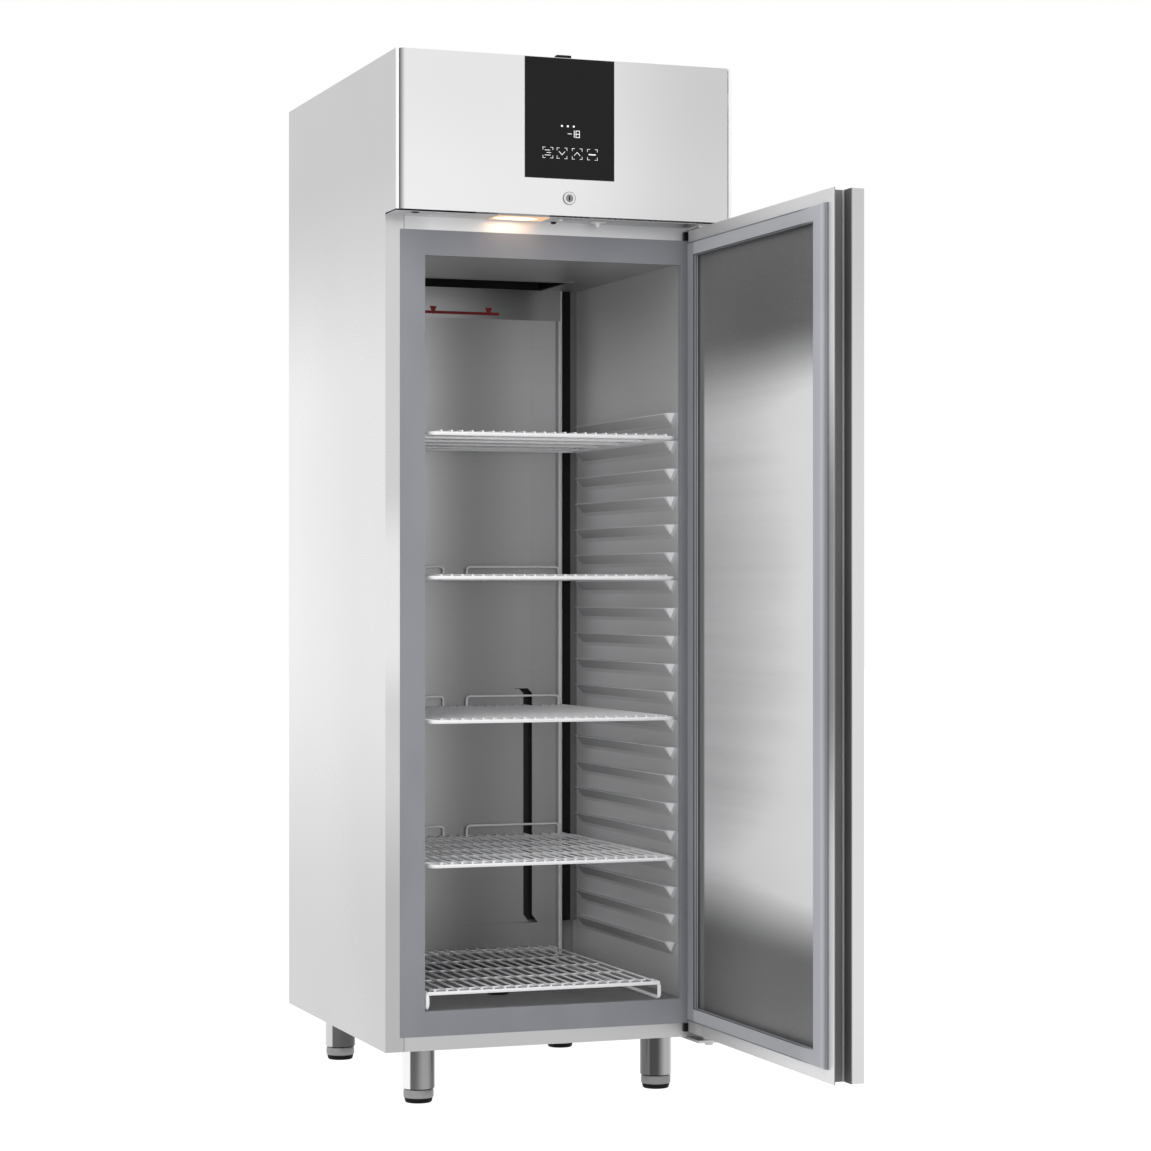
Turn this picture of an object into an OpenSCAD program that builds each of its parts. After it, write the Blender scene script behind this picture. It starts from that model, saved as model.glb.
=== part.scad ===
// Upright freezer with one solid door and a forced-air cooling unit in its header.
// Millimetres. X runs left to right, Y front to back, Z up from the floor.
// Every piece is drawn in the cabinet's own coordinates, with Y = 0 at the header front,
// and placed so that the origin lies under the middle of the freezer with its door open.

/* [Cabinet] */
// Width over the side panels
cab_w = 710; // [690:2:760]
// Depth from the header front to the rear edge
cab_d = 836; // [826:2:880]
// Height of the cabinet underside above the floor
leg_h = 117; // [105:1:140]
// Height of the insulated cabinet
case_h = 1655; // [1640:5:1760]
// Height of the header above the insulated cabinet
head_h = 318; // [310:2:350]
// Thickness of the outer sheets
sheet_t = 1; // [0.8:0.1:1.2]
// Width of the side panel's folded front flange
flange_w = 38; // [34:1:42]
// Width of the side panel's fold beside the header
head_fold_w = 6.5; // [5:0.5:6.5]

/* [Insulation and liner] */
// Thickness of the side walls
wall_t = 75; // [70:1:80]
// Thickness of the floor
floor_t = 78; // [74:1:82]
// Thickness of the ceiling
ceil_t = 70; // [66:1:76]
// Thickness of the rear wall
rear_t = 94; // [84:1:98]
// Thickness of the liner sheets
liner_t = 1; // [0.8:0.1:1.2]
// Number of pressed runners on each side wall
rib_count = 20; // [18:1:22]
// Spacing of the pressed runners
rib_pitch = 57.4; // [54:0.2:58]
// Height of the lowest runner above the liner floor
rib_low = 110.5; // [106:0.5:116]
// How far a runner stands out of the wall
rib_out = 20; // [18:0.5:22]
// Height of a runner
rib_h = 28; // [24:1:32]

/* [Opening frame] */
// Depth of the grey frame's body
frame_deep = 14; // [12:1:20]
// Thickness of its lip on the face
frame_lip = 1; // [0.8:0.1:1.2]
// How far the lip covers the face sheets
frame_over = 8; // [6:0.5:10]
// How far the frame stands inside the liner walls
frame_lap = 6.5; // [5:0.5:8]
// Height of the face rail below the opening
rail_low_h = 36; // [34:1:40]
// Height of the face rail above the opening
rail_top_h = 34; // [32:1:38]

/* [Air duct] */
// Gap between the duct panel and the liner's side walls
duct_side = 34; // [30:1:44]
// Depth of the duct behind its panel
duct_deep = 27; // [25:1:32]
// Gap between the duct panel and the liner floor
duct_low = 17; // [14:1:26]
// Height of the top band
band_h = 67.5; // [60:0.5:75]
// Top of the lower duct cover above the liner floor
cover_top = 617; // [557:5:677]
// Bottom of the lower duct cover above the liner floor
cover_low = 93; // [87:2:107]
// Half width of the lower duct cover
cover_half = 152; // [144:1:158]
// Width of the air slots beside the cover
slot_w = 20.5; // [18:0.5:22]
// Distance of the air intake from the liner's side walls
intake_side = 89; // [87:1:95]
// Depth of the air intake and outlet together
intake_deep = 211; // [200:1:214]

/* [Door] */
// Thickness of the door without its gasket
door_t = 61; // [58:1:66]
// Height of the gasket
gasket_h = 14; // [14:0.5:16]
// Gap between the closed gasket and the frame
seal_gap = 1; // [0.8:0.1:1.4]
// Gap between the cabinet's left side and the closed door
door_gap_left = 2; // [2:0.5:4]
// Gap between the cabinet's right side and the closed door
door_gap_right = 6; // [5:0.5:8]
// Gap between the cabinet underside and the door's lower edge
door_gap_low = 12; // [10:0.5:14]
// Gap between the door and the header
door_gap_top = 7; // [7:0.5:9]
// Depth of the grip channel
grip_deep = 34; // [30:1:44]
// Width of the door's front edge strip beside the grip
grip_lip = 24; // [20:1:26]
// Depth of the inner skin's recessed panel
recess_deep = 5.5; // [4:0.5:8]
// Outer margin of the gasket at the door's sides
gasket_side = 22; // [21:1:24]
// Outer margin of the gasket at the door's ends
gasket_end = 25; // [23:1:27]
// Width of the gasket at the sides
gasket_w = 40; // [38:1:42]
// Width of the gasket at the ends
gasket_end_w = 31; // [29:0.5:33]

/* [Hinges] */
// Distance of the pivot from the door's hinge edge
pivot_in = 33; // [31:0.5:33]
// Distance of the pivot from the door's inner face
pivot_back = 32; // [31:0.5:32]
// Radius of the hinge pins
pin_r = 5; // [4:0.5:6]
// Running clearance of a pin in its bush
pin_gap = 0.05; // [0.03:0.01:0.08]
// Thickness of the hinge plates
hinge_t = 5; // [4:0.5:5]
// Outer radius of the bushes
bush_r = 9; // [8:0.5:10]
// Length of the bushes
bush_h = 30; // [26:1:34]

/* [Header] */
// Gap below the fascia
fascia_gap = 4; // [4:0.5:5]
// Gap on each side of the fascia
fascia_side = 7; // [7:0.5:8]
// Depth of the fascia's folded edges
fascia_deep = 22; // [20:1:24]
// Radius of the fascia's upright edges
fascia_r = 8; // [6:0.5:9]
// Width of the control glass
glass_w = 189; // [180:1:196]
// Height of the control glass
glass_h = 240; // [230:1:250]
// Thickness of the control glass
glass_t = 1.2; // [1:0.1:1.5]
// Height of the lock above the insulated cabinet
lock_up = 39; // [37:0.5:42]
// Radius of the lock's rim
lock_r = 13; // [12:0.5:14]
// Length of the lock's cam
cam_l = 53; // [50:0.5:54]
// Length of the lamp lens
lamp_l = 108; // [100:1:116]
// Width of the lamp lens
lamp_w = 58; // [50:1:60]

/* [Legs] */
// Distance of the legs' axes from the cabinet's sides
leg_in = 98; // [90:1:110]
// Place of the front legs behind the cabinet face
leg_front = 98; // [92:1:110]
// Place of the rear legs in front of the rear edge
leg_rear = 71; // [60:1:80]
// Radius of the leg sleeves
leg_r = 32.5; // [30:0.5:35]
// Radius of the adjustable feet
foot_r = 30.5; // [28:0.5:31]
// Height of the adjustable feet over their pads
foot_h = 18.7; // [16:0.1:24]
// Thickness of the pads under the feet
pad_h = 10; // [6:0.5:12]

/* [Shelves] */
// Gap between a shelf and the liner's side walls
shelf_side = 15; // [13:0.5:17]
// Depth of a shelf
shelf_d = 640; // [600:5:640]
// Radius of the frame wire
frame_wire = 4; // [3.5:0.25:4.5]
// Radius of the top wires
top_wire = 1.8; // [1.5:0.1:2.2]
// Radius of the cross wires
cross_wire = 2.5; // [2.2:0.1:3]
// Number of top wires
wire_count = 23; // [19:1:25]
// Number of cross wires
cross_count = 5; // [4:1:6]
// Height of the rear stops
stop_h = 27; // [22:1:32]
// Distance of the floor grid's runners from the liner's side walls
grid_side = 33; // [33:1:45]
// How far the loose floor grid lies left of the middle
grid_left = 21; // [0:1:21]
// Height of the floor grid above the liner floor
grid_h = 42; // [38:1:48]
// Number of top wires on the floor grid
grid_count = 20; // [16:1:22]

/* [Hidden] */
$fn = 48;

// Colours of the real surfaces
steel = [0.82, 0.82, 0.83];
liner_steel = [0.6, 0.6, 0.61];
grey_plastic = [0.56, 0.57, 0.6];
gasket_grey = [0.65, 0.66, 0.68];
grip_grey = [0.33, 0.33, 0.34];
black = [0.05, 0.05, 0.05];
foam_cream = [0.9, 0.84, 0.66];
copper = [0.72, 0.45, 0.3];

// Main levels and faces of the cabinet
half_w = cab_w / 2;
case_z = leg_h + case_h;
top_z = case_z + head_h;
step_z = case_z + fascia_gap;
gasket_y = door_t + gasket_h;
frame_y = gasket_y + seal_gap;
face_y = frame_y + frame_lip;
skin_y = face_y + sheet_t;
back_y = cab_d - 2 * sheet_t;
inner_half = half_w - sheet_t;
// Seam between pieces that are butted together
seam = 0.2;
// The side panel's header edge stands this far behind the fascia's front
head_y = 4.4;
rear_fold = 15;
top_fold = 18;

// Liner and opening
liner_half = half_w - wall_t;
floor_z = leg_h + floor_t;
ceil_z = case_z - ceil_t;
liner_y = cab_d - rear_t;
frame_lap_top = 6;
open_half = liner_half - frame_lap;
open_z0 = floor_z;
open_z1 = ceil_z - frame_lap_top;
body_half = half_w - flange_w;
body_z0 = leg_h + rail_low_h;
body_z1 = case_z - rail_top_h;
liner_y0 = face_y + frame_deep;
rib_slant = 0.7 * rib_out;
rib_end_lean = 30;
rib_y0 = face_y + 32;
rib_sink = liner_t / 2;

// Air duct
duct_half = liner_half - duct_side;
intake_half = liner_half - intake_side;
duct_y = liner_y - duct_deep;
duct_r = 6;
duct_z0 = floor_z + duct_low;
band_t = 1;
cover_z1 = floor_z + cover_top;
cover_z0 = floor_z + cover_low;
cover_seam = 1;
cover_cut = 10;
cover_flare = 14;
cover_tab = 18;
cover_tab_side = 20;
intake_y0 = liner_y - 1 - intake_deep;
intake_y1 = intake_y0 + intake_deep;
collar_t = 3;
collar_rise = 3;
strip_back = 3;
strip_low = 95;
strip_gap = 1;

// Door, drawn shut
door_x0 = door_gap_left - half_w;
door_x1 = half_w - door_gap_right;
door_z0 = leg_h + door_gap_low;
door_z1 = case_z - door_gap_top;
pivot_x = door_x1 - pivot_in;
pivot_y = door_t - pivot_back;
door_open = 90;
free_y = pivot_y + door_x0 - pivot_x;
grip_x1 = door_x0 + grip_deep;
grip_y1 = door_t - sheet_t;
grip_wall = 2;
recess_y = door_t - recess_deep;
gasket_x0 = door_x0 + gasket_side;
gasket_x1 = door_x1 - gasket_side;
gasket_z0 = door_z0 + gasket_end;
gasket_z1 = door_z1 - gasket_end;
gasket_base = 5;
bulb_side = 3;
bulb_end = 2;
recess_lap = 3;
cam_slot = 36;
cam_t = 3;
cam_y = fascia_deep + 1;
cam_w = 12;
cam_gap = 2;
lock_x = 3;
lock_z = case_z + lock_up;
plug_r = 7;
lock_body_r = 11;

// The middle of the freezer's depth with its door open
origin_y = (cab_d + free_y) / 2;

// Header pieces
plate_y = 5;
plate_back = 23;
fascia_half = half_w - fascia_side;
hinge_pin_h = 28;
hinge_edge = 17;
screw_r = 2.5;
screw_head_r = 5;
screw_gap = 0.1;
clip_y = 4;
clip_z = step_z + 4;
clip_r = 1.5;
clip_x = fascia_half - 27;
clip_w = 14;
ear_gap = 2;
ear_t = 4;
clip_reach = ear_gap + ear_t + 1;
lamp_x = -89;
lamp_y = 9.5;
lens_t = 1.2;
lamp_lip = 4;
lamp_box_h = 22;
switch_x = 82;
switch_y = 46;
plunger_r = 7.5;
plunger_tip = 10.3;
plunger_body = 16;
switch_gap = 0.3;
switch_wall = 2;
glass_x = 4;
brace_y = 41;
brace_z = top_z - 40;
brace_h = 30;

// Legs
leg_x = half_w - leg_in;
sleeve_t = 2;
foot_gap = 0.3;
leg_z = pad_h + foot_h + foot_gap;
stem_r = 8;
stem_gap = 0.05;
leg_plate_r = 42;
leg_plate_t = 4;
leg_y = [face_y + leg_front, cab_d - leg_rear];

// Shelves
shelf_half = liner_half - shelf_side;
grid_half = liner_half - grid_side;
shelf_y0 = liner_y - 30 - shelf_d;
shelf_gap = 0.3;
shelf_ribs = [for (i = [0 : 3]) rib_count - 2 - 5 * i];
wire_side = shelf_half - frame_wire;
wire_sink = 0.6;
top_wire_z = frame_wire + top_wire - wire_sink;
cross_wire_z = top_wire_z - top_wire - cross_wire + wire_sink;
stop_left = [-81, -37];
stop_right = [17, 233];
corner_r = 18;
bend_steps = 3;

// Cooling unit in the header
tray_t = 1.5;
unit_z = case_z + tray_t;
evap_t = 25;
evap_half = intake_half + evap_t + 4;
evap_y0 = intake_y0 - 4 - evap_t;
evap_y1 = intake_y1 + 4 + evap_t;
evap_h = 262;
unit_gap = 1;
fan_z = case_z + 143;
cond_half = 150;
cond_x = half_w - 25 - cond_half;
cond_y = 130;
cond_deep = 45;
cond_h = 268;
fan_hub_r = 24;
shaft_r = 4;
shaft_gap = 0.05;
evap_fan_z = case_z + 130;
comp_x = 175 - half_w;
comp_y = 300;
comp_low = 17;
coil_gap = 30;
coil_low = 28;
box_side = 20;
box_w = 100;
box_h = 118;
inlet_x = half_w - 65;
inlet_half = 16;
inlet_z = case_z + 66;
inlet_h = 24;

// A box between two corners
module block(x0, x1, y0, y1, z0, z1) {
    translate([x0, y0, z0]) cube([x1 - x0, y1 - y0, z1 - z0]);
}

// Moves the cabinet's coordinates to the freezer's own origin
module place() {
    translate([0, -origin_y, 0]) children();
}

// Swings a piece drawn on the shut door to the open door
module door_place() {
    place()
        translate([pivot_x, pivot_y, 0])
            rotate([0, 0, door_open])
                translate([-pivot_x, -pivot_y, 0]) children();
}

// The same piece on the left and mirrored on the right
module both_sides() {
    children();
    mirror([1, 0, 0]) children();
}

// A shape of depth and height, extruded across the width from x
module across(x, width) {
    translate([x, 0, 0]) rotate([90, 0, 90]) linear_extrude(width) children();
}

// A shape of width and height, extruded through the depth from y
module through(y, depth) {
    translate([0, y + depth, 0]) rotate([90, 0, 0]) linear_extrude(depth) children();
}

// Plan of a sheet folded back at both sides, with rounded front edges
module folded_plan(half, deep, r, t) {
    difference() {
        rounded_plan(half, deep, r);
        translate([0, t]) rounded_plan(half - t, deep, r - t);
    }
}

module rounded_plan(half, deep, r) {
    translate([-half, r]) square([2 * half, deep - r]);
    translate([r - half, 0]) square([2 * (half - r), r + 0.01]);
    translate([r - half, r]) circle(r);
    translate([half - r, r]) circle(r);
}

// Outer case

module side_panel() {
    color(steel) {
        across(-half_w, sheet_t)
            polygon([[face_y, leg_h], [cab_d, leg_h], [cab_d, top_z], [head_y, top_z],
                [head_y, step_z], [face_y, step_z]]);
        block(-half_w, -body_half, face_y, skin_y, leg_h, case_z);
        block(-half_w, head_fold_w - half_w, head_y, head_y + sheet_t, step_z, top_z);
        block(-half_w, rear_fold - half_w, cab_d - sheet_t, cab_d, leg_h, top_z);
        block(-half_w, top_fold - half_w, fascia_deep + 4, cab_d, top_z - sheet_t, top_z);
    }
}

module left_side_panel() place() side_panel();

module right_side_panel() place() mirror([1, 0, 0]) side_panel();

// Rear sheet with air slots at the header and a hole for the power inlet
module rear_panel() {
    vent_w = 120;
    vent_h = 8;
    vent_pitch = 22;
    place() color(steel) difference() {
        block(-inner_half, inner_half, back_y, back_y + sheet_t, leg_h, top_z - sheet_t);
        for (x = [-230, 0])
            for (i = [0 : 7])
                block(x, x + vent_w, back_y - 1, cab_d, case_z + 70 + i * vent_pitch,
                    case_z + 70 + i * vent_pitch + vent_h);
        block(inlet_x - inlet_half, inlet_x + inlet_half, back_y - 1, cab_d,
            inlet_z, inlet_z + inlet_h);
    }
}

module base_panel() {
    place() color(steel) difference() {
        block(-inner_half, inner_half, skin_y, back_y, leg_h, leg_h + sheet_t);
        hinge_screw_holes(hinge_screw_low_y, leg_h);
    }
}

module roof_panel() {
    place() color(steel) difference() {
        block(-inner_half, inner_half, skin_y, back_y, case_z - sheet_t, case_z);
        collar_space(case_z - 2 * sheet_t, case_z + sheet_t);
    }
}

module face_rails() {
    place() color(steel) {
        block(-body_half, body_half, face_y, skin_y, leg_h, body_z0);
        block(-body_half, body_half, face_y, skin_y, body_z1, case_z);
    }
}

// Room of the air collar through the ceiling
module collar_space(z0, z1) {
    block(-intake_half, intake_half, intake_y0, intake_y1, z0, z1);
}

// Foam boards between the outer sheets and the liner, butted with narrow seams
module insulation() {
    x1 = liner_half + liner_t;
    y1 = liner_y + liner_t;
    z0 = leg_h + sheet_t;
    z1 = case_z - sheet_t;
    place() color(foam_cream) difference() {
        union() {
            block(-inner_half, inner_half, y1, back_y, z0, z1);
            both_sides() {
                block(-inner_half, -x1, skin_y, y1 - seam, z0, z1);
                block(seam - x1, -intake_half, intake_y0, y1 - seam, ceil_z + liner_t, z1);
            }
            block(seam - x1, x1 - seam, skin_y, y1 - seam, z0, floor_z - liner_t);
            block(seam - x1, x1 - seam, skin_y, intake_y0 - seam, ceil_z + liner_t, z1);
        }
        block(-body_half, body_half, face_y, liner_y0, body_z0, body_z1);
    }
}

// Liner

function rib_z(i) = floor_z + rib_low + i * rib_pitch;

// Pressed runners of the left wall, their ends cut slanting; t shrinks them to the
// hollow behind the sheet
module runners(t, x0) {
    k = norm([rib_out, rib_h]) / rib_out;
    x1 = rib_out * (1 - (1 + k) * t / rib_h) - liner_half;
    y0 = rib_y0 + 2.7 * t;
    y1 = duct_y - 28 - 2.7 * t;
    drop = rib_h * (x1 - x0) / rib_out;
    lean = rib_slant * (x0 + liner_half) / rib_out;
    tip = rib_slant * (x1 + liner_half) / rib_out;
    low = lean + rib_end_lean * drop / rib_h;
    for (i = [0 : rib_count - 1]) {
        z1 = rib_z(i) - t;
        z0 = z1 - drop;
        polyhedron(
            [[x0, y0 + lean, z1], [x1, y0 + tip, z1], [x0, y0 + low, z0],
                [x0, y1 - lean, z1], [x1, y1 - tip, z1], [x0, y1 - low, z0]],
            [[0, 1, 2], [5, 4, 3], [3, 4, 1, 0], [3, 0, 2, 5], [1, 4, 5, 2]]);
    }
}

module liner_walls() {
    place() color(liner_steel) both_sides() difference() {
        union() {
            block(-liner_half - liner_t, -liner_half, liner_y0, liner_y + liner_t,
                floor_z - liner_t, ceil_z + liner_t);
            runners(0, -liner_half - rib_sink);
        }
        runners(liner_t, -liner_half - 2 * liner_t);
    }
}

module liner_rear() {
    place() color(liner_steel)
        block(-liner_half, liner_half, liner_y, liner_y + liner_t, floor_z - liner_t,
            ceil_z + liner_t);
}

// Floor and ceiling of the liner, with a folded lip round the air intake
module liner_ends() {
    lip_w = 10;
    lip_t = 1.5;
    place() color(liner_steel) difference() {
        union() {
            block(-liner_half, liner_half, liner_y0, liner_y, floor_z - liner_t, floor_z);
            block(-liner_half, liner_half, liner_y0, liner_y, ceil_z, ceil_z + liner_t);
            block(-intake_half - lip_w, intake_half + lip_w, intake_y0 - lip_w,
                duct_y - 2 * band_t, ceil_z - lip_t, ceil_z);
        }
        block(-intake_half, intake_half, intake_y0, intake_y1, ceil_z - 2 * lip_t,
            ceil_z + 2 * liner_t);
    }
}

// Grey frame that parts the warm outer sheets from the cold liner
module opening_frame() {
    place() color(grey_plastic) difference() {
        union() {
            block(-body_half - frame_over, body_half + frame_over, frame_y, face_y,
                body_z0 - frame_over, body_z1 + frame_over);
            block(-body_half, body_half, face_y, liner_y0, body_z0, body_z1);
        }
        block(-open_half, open_half, frame_y - 1, liner_y0 + 1, open_z0, open_z1);
    }
}

// Duct panel with its cover, band and strips

module cover_outline(half, top, low, flare) {
    polygon([[cover_cut - half, top], [half - cover_cut, top], [half, top - cover_cut],
        [half, low + cover_tab], [half + flare, low], [-half - flare, low],
        [-half, low + cover_tab], [-half, top - cover_cut]]);
}

// Flat panel between two folded side rails, seamed against them; two more seams run down
// from the outer edges of the air slots
module duct_panel() {
    flat = duct_half - duct_r;
    hole_half = cover_half + slot_w;
    place() color(liner_steel) {
        difference() {
            block(-flat, flat, duct_y, duct_y + liner_t, duct_z0, ceil_z);
            through(duct_y - 1, 3)
                cover_outline(hole_half, cover_z1, cover_z0, cover_flare);
            both_sides()
                block(hole_half, hole_half + seam, duct_y - 1, duct_y + 2, duct_z0 - 1,
                    ceil_z + 1);
        }
        translate([0, duct_y, duct_z0])
            linear_extrude(ceil_z - duct_z0)
                difference() {
                    folded_plan(duct_half, duct_deep, duct_r, liner_t);
                    translate([-flat - seam, -1]) square([2 * (flat + seam), 3 * liner_t]);
                }
    }
}

module duct_cover() {
    tab = cover_half - cover_tab_side;
    place() color(liner_steel) {
        through(duct_y, liner_t)
            cover_outline(cover_half, cover_z1 - cover_seam, cover_z0 + cover_seam,
                cover_flare);
        block(-tab, tab, duct_y + liner_t - 0.2, duct_y + 2 * liner_t,
            cover_z1 - cover_tab, cover_z1 - cover_tab / 2);
        block(-tab, tab, duct_y + liner_t, duct_y + 2 * liner_t, cover_z1 - cover_tab,
            cover_z1 + cover_tab);
        block(-tab, tab, duct_y + liner_t - 0.2, duct_y + 2 * liner_t,
            cover_z0 + cover_tab / 2, cover_z0 + cover_tab);
        block(-tab, tab, duct_y + liner_t, duct_y + 2 * liner_t, cover_z0 - cover_tab,
            cover_z0 + cover_tab);
    }
}

module duct_band() {
    half = duct_half - duct_r;
    place() color(liner_steel)
        block(-half, half, duct_y - band_t, duct_y, ceil_z - band_h, ceil_z);
}

module corner_strips() {
    place() color(black) both_sides()
        block(-liner_half, -duct_half - strip_gap, duct_y + strip_back, liner_y,
            floor_z + strip_low, ceil_z);
}

// Collar that leads the air up to the cooling unit and back down into the duct
module air_collar() {
    top = case_z + collar_rise;
    place() color(black) difference() {
        collar_space(ceil_z, top);
        block(collar_t - intake_half, intake_half - collar_t, intake_y0 + collar_t,
            duct_y - 2 * band_t, ceil_z - 1, top + 1);
        block(collar_t - intake_half, intake_half - collar_t, duct_y + collar_t,
            intake_y1 - collar_t, ceil_z - 1, top + 1);
    }
}

module floor_plug() {
    place() color(black)
        translate([-53, face_y + 203, floor_z]) cylinder(r = 22, h = 4);
}

// Hinges

hinge_x0 = pivot_x - 30;
hinge_x1 = pivot_x + 30;
hinge_screw_top_y = face_y - 20;
hinge_screw_low_y = face_y + 18;

module hinge_screw_holes(y, z) {
    for (x = [pivot_x - 20, pivot_x + 20])
        translate([x, y, z - 8]) cylinder(r = screw_r + screw_gap, h = 20);
}

// Upper and lower plate, each with its pin
module hinge_plates() {
    nut_h = 6;
    place() color(steel) difference() {
        union() {
            block(hinge_x0, hinge_x1, pivot_y - hinge_edge, face_y - 1, case_z - hinge_t,
                case_z);
            translate([pivot_x, pivot_y, case_z - hinge_t - hinge_pin_h])
                cylinder(r = pin_r, h = hinge_pin_h + 1);
            block(hinge_x0, hinge_x1, pivot_y - hinge_edge, face_y + 48, leg_h - hinge_t,
                leg_h);
            translate([pivot_x, pivot_y, leg_h - hinge_t - nut_h])
                cylinder(r = pin_r + 4, h = nut_h + 1, $fn = 6);
            translate([pivot_x, pivot_y, leg_h - 1])
                cylinder(r = pin_r, h = door_gap_low + hinge_pin_h + 1);
        }
        hinge_screw_holes(hinge_screw_top_y, case_z);
        hinge_screw_holes(hinge_screw_low_y, leg_h);
    }
}

// Low black blocks on the face beside the hinges
module hinge_blocks() {
    x0 = half_w - 77;
    x1 = x0 + 13;
    y0 = face_y - 7.5;
    place() color(black) {
        block(x0, x1, y0, face_y, body_z0 - frame_over - 17, body_z0 - frame_over - 0.3);
        block(x0, x1, y0, face_y, body_z1 + frame_over + 0.3, body_z1 + frame_over + 17);
    }
}

// Two screws through each hinge plate
module hinge_screws() {
    head_h = 1.4;
    place() color(steel)
        for (x = [pivot_x - 20, pivot_x + 20]) {
            translate([x, hinge_screw_top_y, case_z - hinge_t - head_h])
                cylinder(r = screw_head_r, h = head_h);
            translate([x, hinge_screw_top_y, case_z - hinge_t - head_h / 2])
                cylinder(r = screw_r, h = hinge_t + sheet_t + 3);
            translate([x, hinge_screw_low_y, leg_h - hinge_t - head_h])
                cylinder(r = screw_head_r, h = head_h);
            translate([x, hinge_screw_low_y, leg_h - hinge_t - head_h / 2])
                cylinder(r = screw_r, h = hinge_t + head_h / 2 + sheet_t);
        }
}

// Header underside

// Cut-out of the header plate for the lamp
module lamp_window(z0, z1) {
    block(lamp_x - lamp_l / 2 + lamp_lip, lamp_x + lamp_l / 2 - lamp_lip,
        lamp_y + lamp_lip, lamp_y + lamp_w - lamp_lip, z0, z1);
}

module header_plate() {
    place() color(steel) difference() {
        block(-inner_half, inner_half, plate_y, face_y + plate_back, case_z,
            case_z + sheet_t);
        lamp_window(case_z - 1, case_z + 2 * sheet_t);
        translate([switch_x, switch_y, case_z - 1])
            cylinder(r = plunger_r + switch_wall + switch_gap, h = 4);
        block(lock_x - cam_w / 2 - cam_gap, lock_x + cam_slot + 4, cam_y - cam_gap,
            cam_y + cam_t + cam_gap, case_z - 1, case_z + 2 * sheet_t);
        hinge_screw_holes(hinge_screw_top_y, case_z);
    }
}

module lamp_housing() {
    z0 = case_z + sheet_t;
    x0 = lamp_x - lamp_l / 2;
    x1 = lamp_x + lamp_l / 2;
    y1 = lamp_y + lamp_w;
    wall = 1.5;
    place() color("white") {
        difference() {
            block(x0, x1, lamp_y, y1, z0, z0 + lamp_box_h);
            block(x0 + wall, x1 - wall, lamp_y + wall, y1 - wall, z0 - 1,
                z0 + lamp_box_h - wall);
        }
        block(x0 + wall, x1 - wall, lamp_y + 24, lamp_y + 34, z0 + lamp_box_h - wall - 2,
            z0 + lamp_box_h - wall);
    }
}

module lamp_lens() {
    place() color([1, 0.93, 0.8]) {
        block(lamp_x - lamp_l / 2, lamp_x + lamp_l / 2, lamp_y - 2, lamp_y + lamp_w - 2,
            case_z - lens_t, case_z);
        difference() {
            lamp_window(case_z - lens_t / 2, case_z + sheet_t);
            block(-half_w, half_w, 0, lamp_y + lamp_lip + 0.2, case_z, top_z);
        }
    }
}

module door_switch() {
    half_l = 13.5;
    half_d = 11;
    body_h = 34;
    bezel_t = 1.5;
    place() color("white") difference() {
        union() {
            block(switch_x - half_l, switch_x + half_l, switch_y - half_d,
                switch_y + half_d, case_z - bezel_t, case_z);
            translate([switch_x, switch_y, case_z - 0.1])
                cylinder(r = plunger_r + switch_wall, h = sheet_t + 0.2);
            block(switch_x - half_l, switch_x + half_l, switch_y - half_d,
                switch_y + half_d, case_z + sheet_t, case_z + body_h);
        }
        translate([switch_x, switch_y, case_z - 2 * bezel_t])
            cylinder(r = plunger_r + switch_gap / 2, h = body_h);
    }
}

module switch_plunger() {
    place() color("white") translate([switch_x, switch_y, case_z - plunger_tip]) {
        cylinder(r1 = 4, r2 = plunger_r, h = plunger_tip);
        translate([0, 0, plunger_tip]) cylinder(r = plunger_r, h = plunger_body);
    }
}

// Legs

// Runs its children at each leg's axis
module at_legs() {
    for (x = [-leg_x, leg_x])
        for (y = leg_y)
            translate([x, y, 0]) children();
}

module leg_sleeves() {
    floor_h = 8;
    place() color(steel) at_legs() difference() {
        union() {
            translate([0, 0, leg_z]) cylinder(r = leg_r, h = leg_h - leg_z);
            translate([0, 0, leg_h - leg_plate_t]) cylinder(r = leg_plate_r, h = leg_plate_t);
        }
        translate([0, 0, leg_z + floor_h])
            cylinder(r = leg_r - sleeve_t, h = leg_h - leg_z - floor_h - leg_plate_t);
        translate([0, 0, leg_z - 1]) cylinder(r = stem_r + stem_gap, h = floor_h + 2);
    }
}

// Screw foot with its stem, on a rubber pad
module foot(x, y) {
    stem_h = 66;
    place() translate([x, y, 0]) {
        color(steel) {
            translate([0, 0, pad_h]) cylinder(r = foot_r, h = foot_h);
            translate([0, 0, pad_h]) cylinder(r = stem_r, h = foot_h + stem_h);
        }
        color(black) cylinder(r = foot_r - 2, h = pad_h);
    }
}

module foot_front_left() foot(-leg_x, leg_y[0]);

module foot_front_right() foot(leg_x, leg_y[0]);

module foot_rear_left() foot(-leg_x, leg_y[1]);

module foot_rear_right() foot(leg_x, leg_y[1]);

// Cooling unit on the insulated cabinet's roof

module unit_tray() {
    half = half_w - 15;
    lip = 14;
    y0 = face_y + plate_back + 4;
    y1 = cab_d - 6;
    place() color(steel) difference() {
        block(-half, half, y0, y1, case_z, case_z + lip);
        block(tray_t - half, half - tray_t, y0 + tray_t, y1 - tray_t, unit_z,
            case_z + lip + 1);
        block(-evap_half - unit_gap, evap_half + unit_gap, evap_y0 - unit_gap,
            evap_y1 + unit_gap, case_z - 1, unit_z + 1);
    }
}

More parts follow.
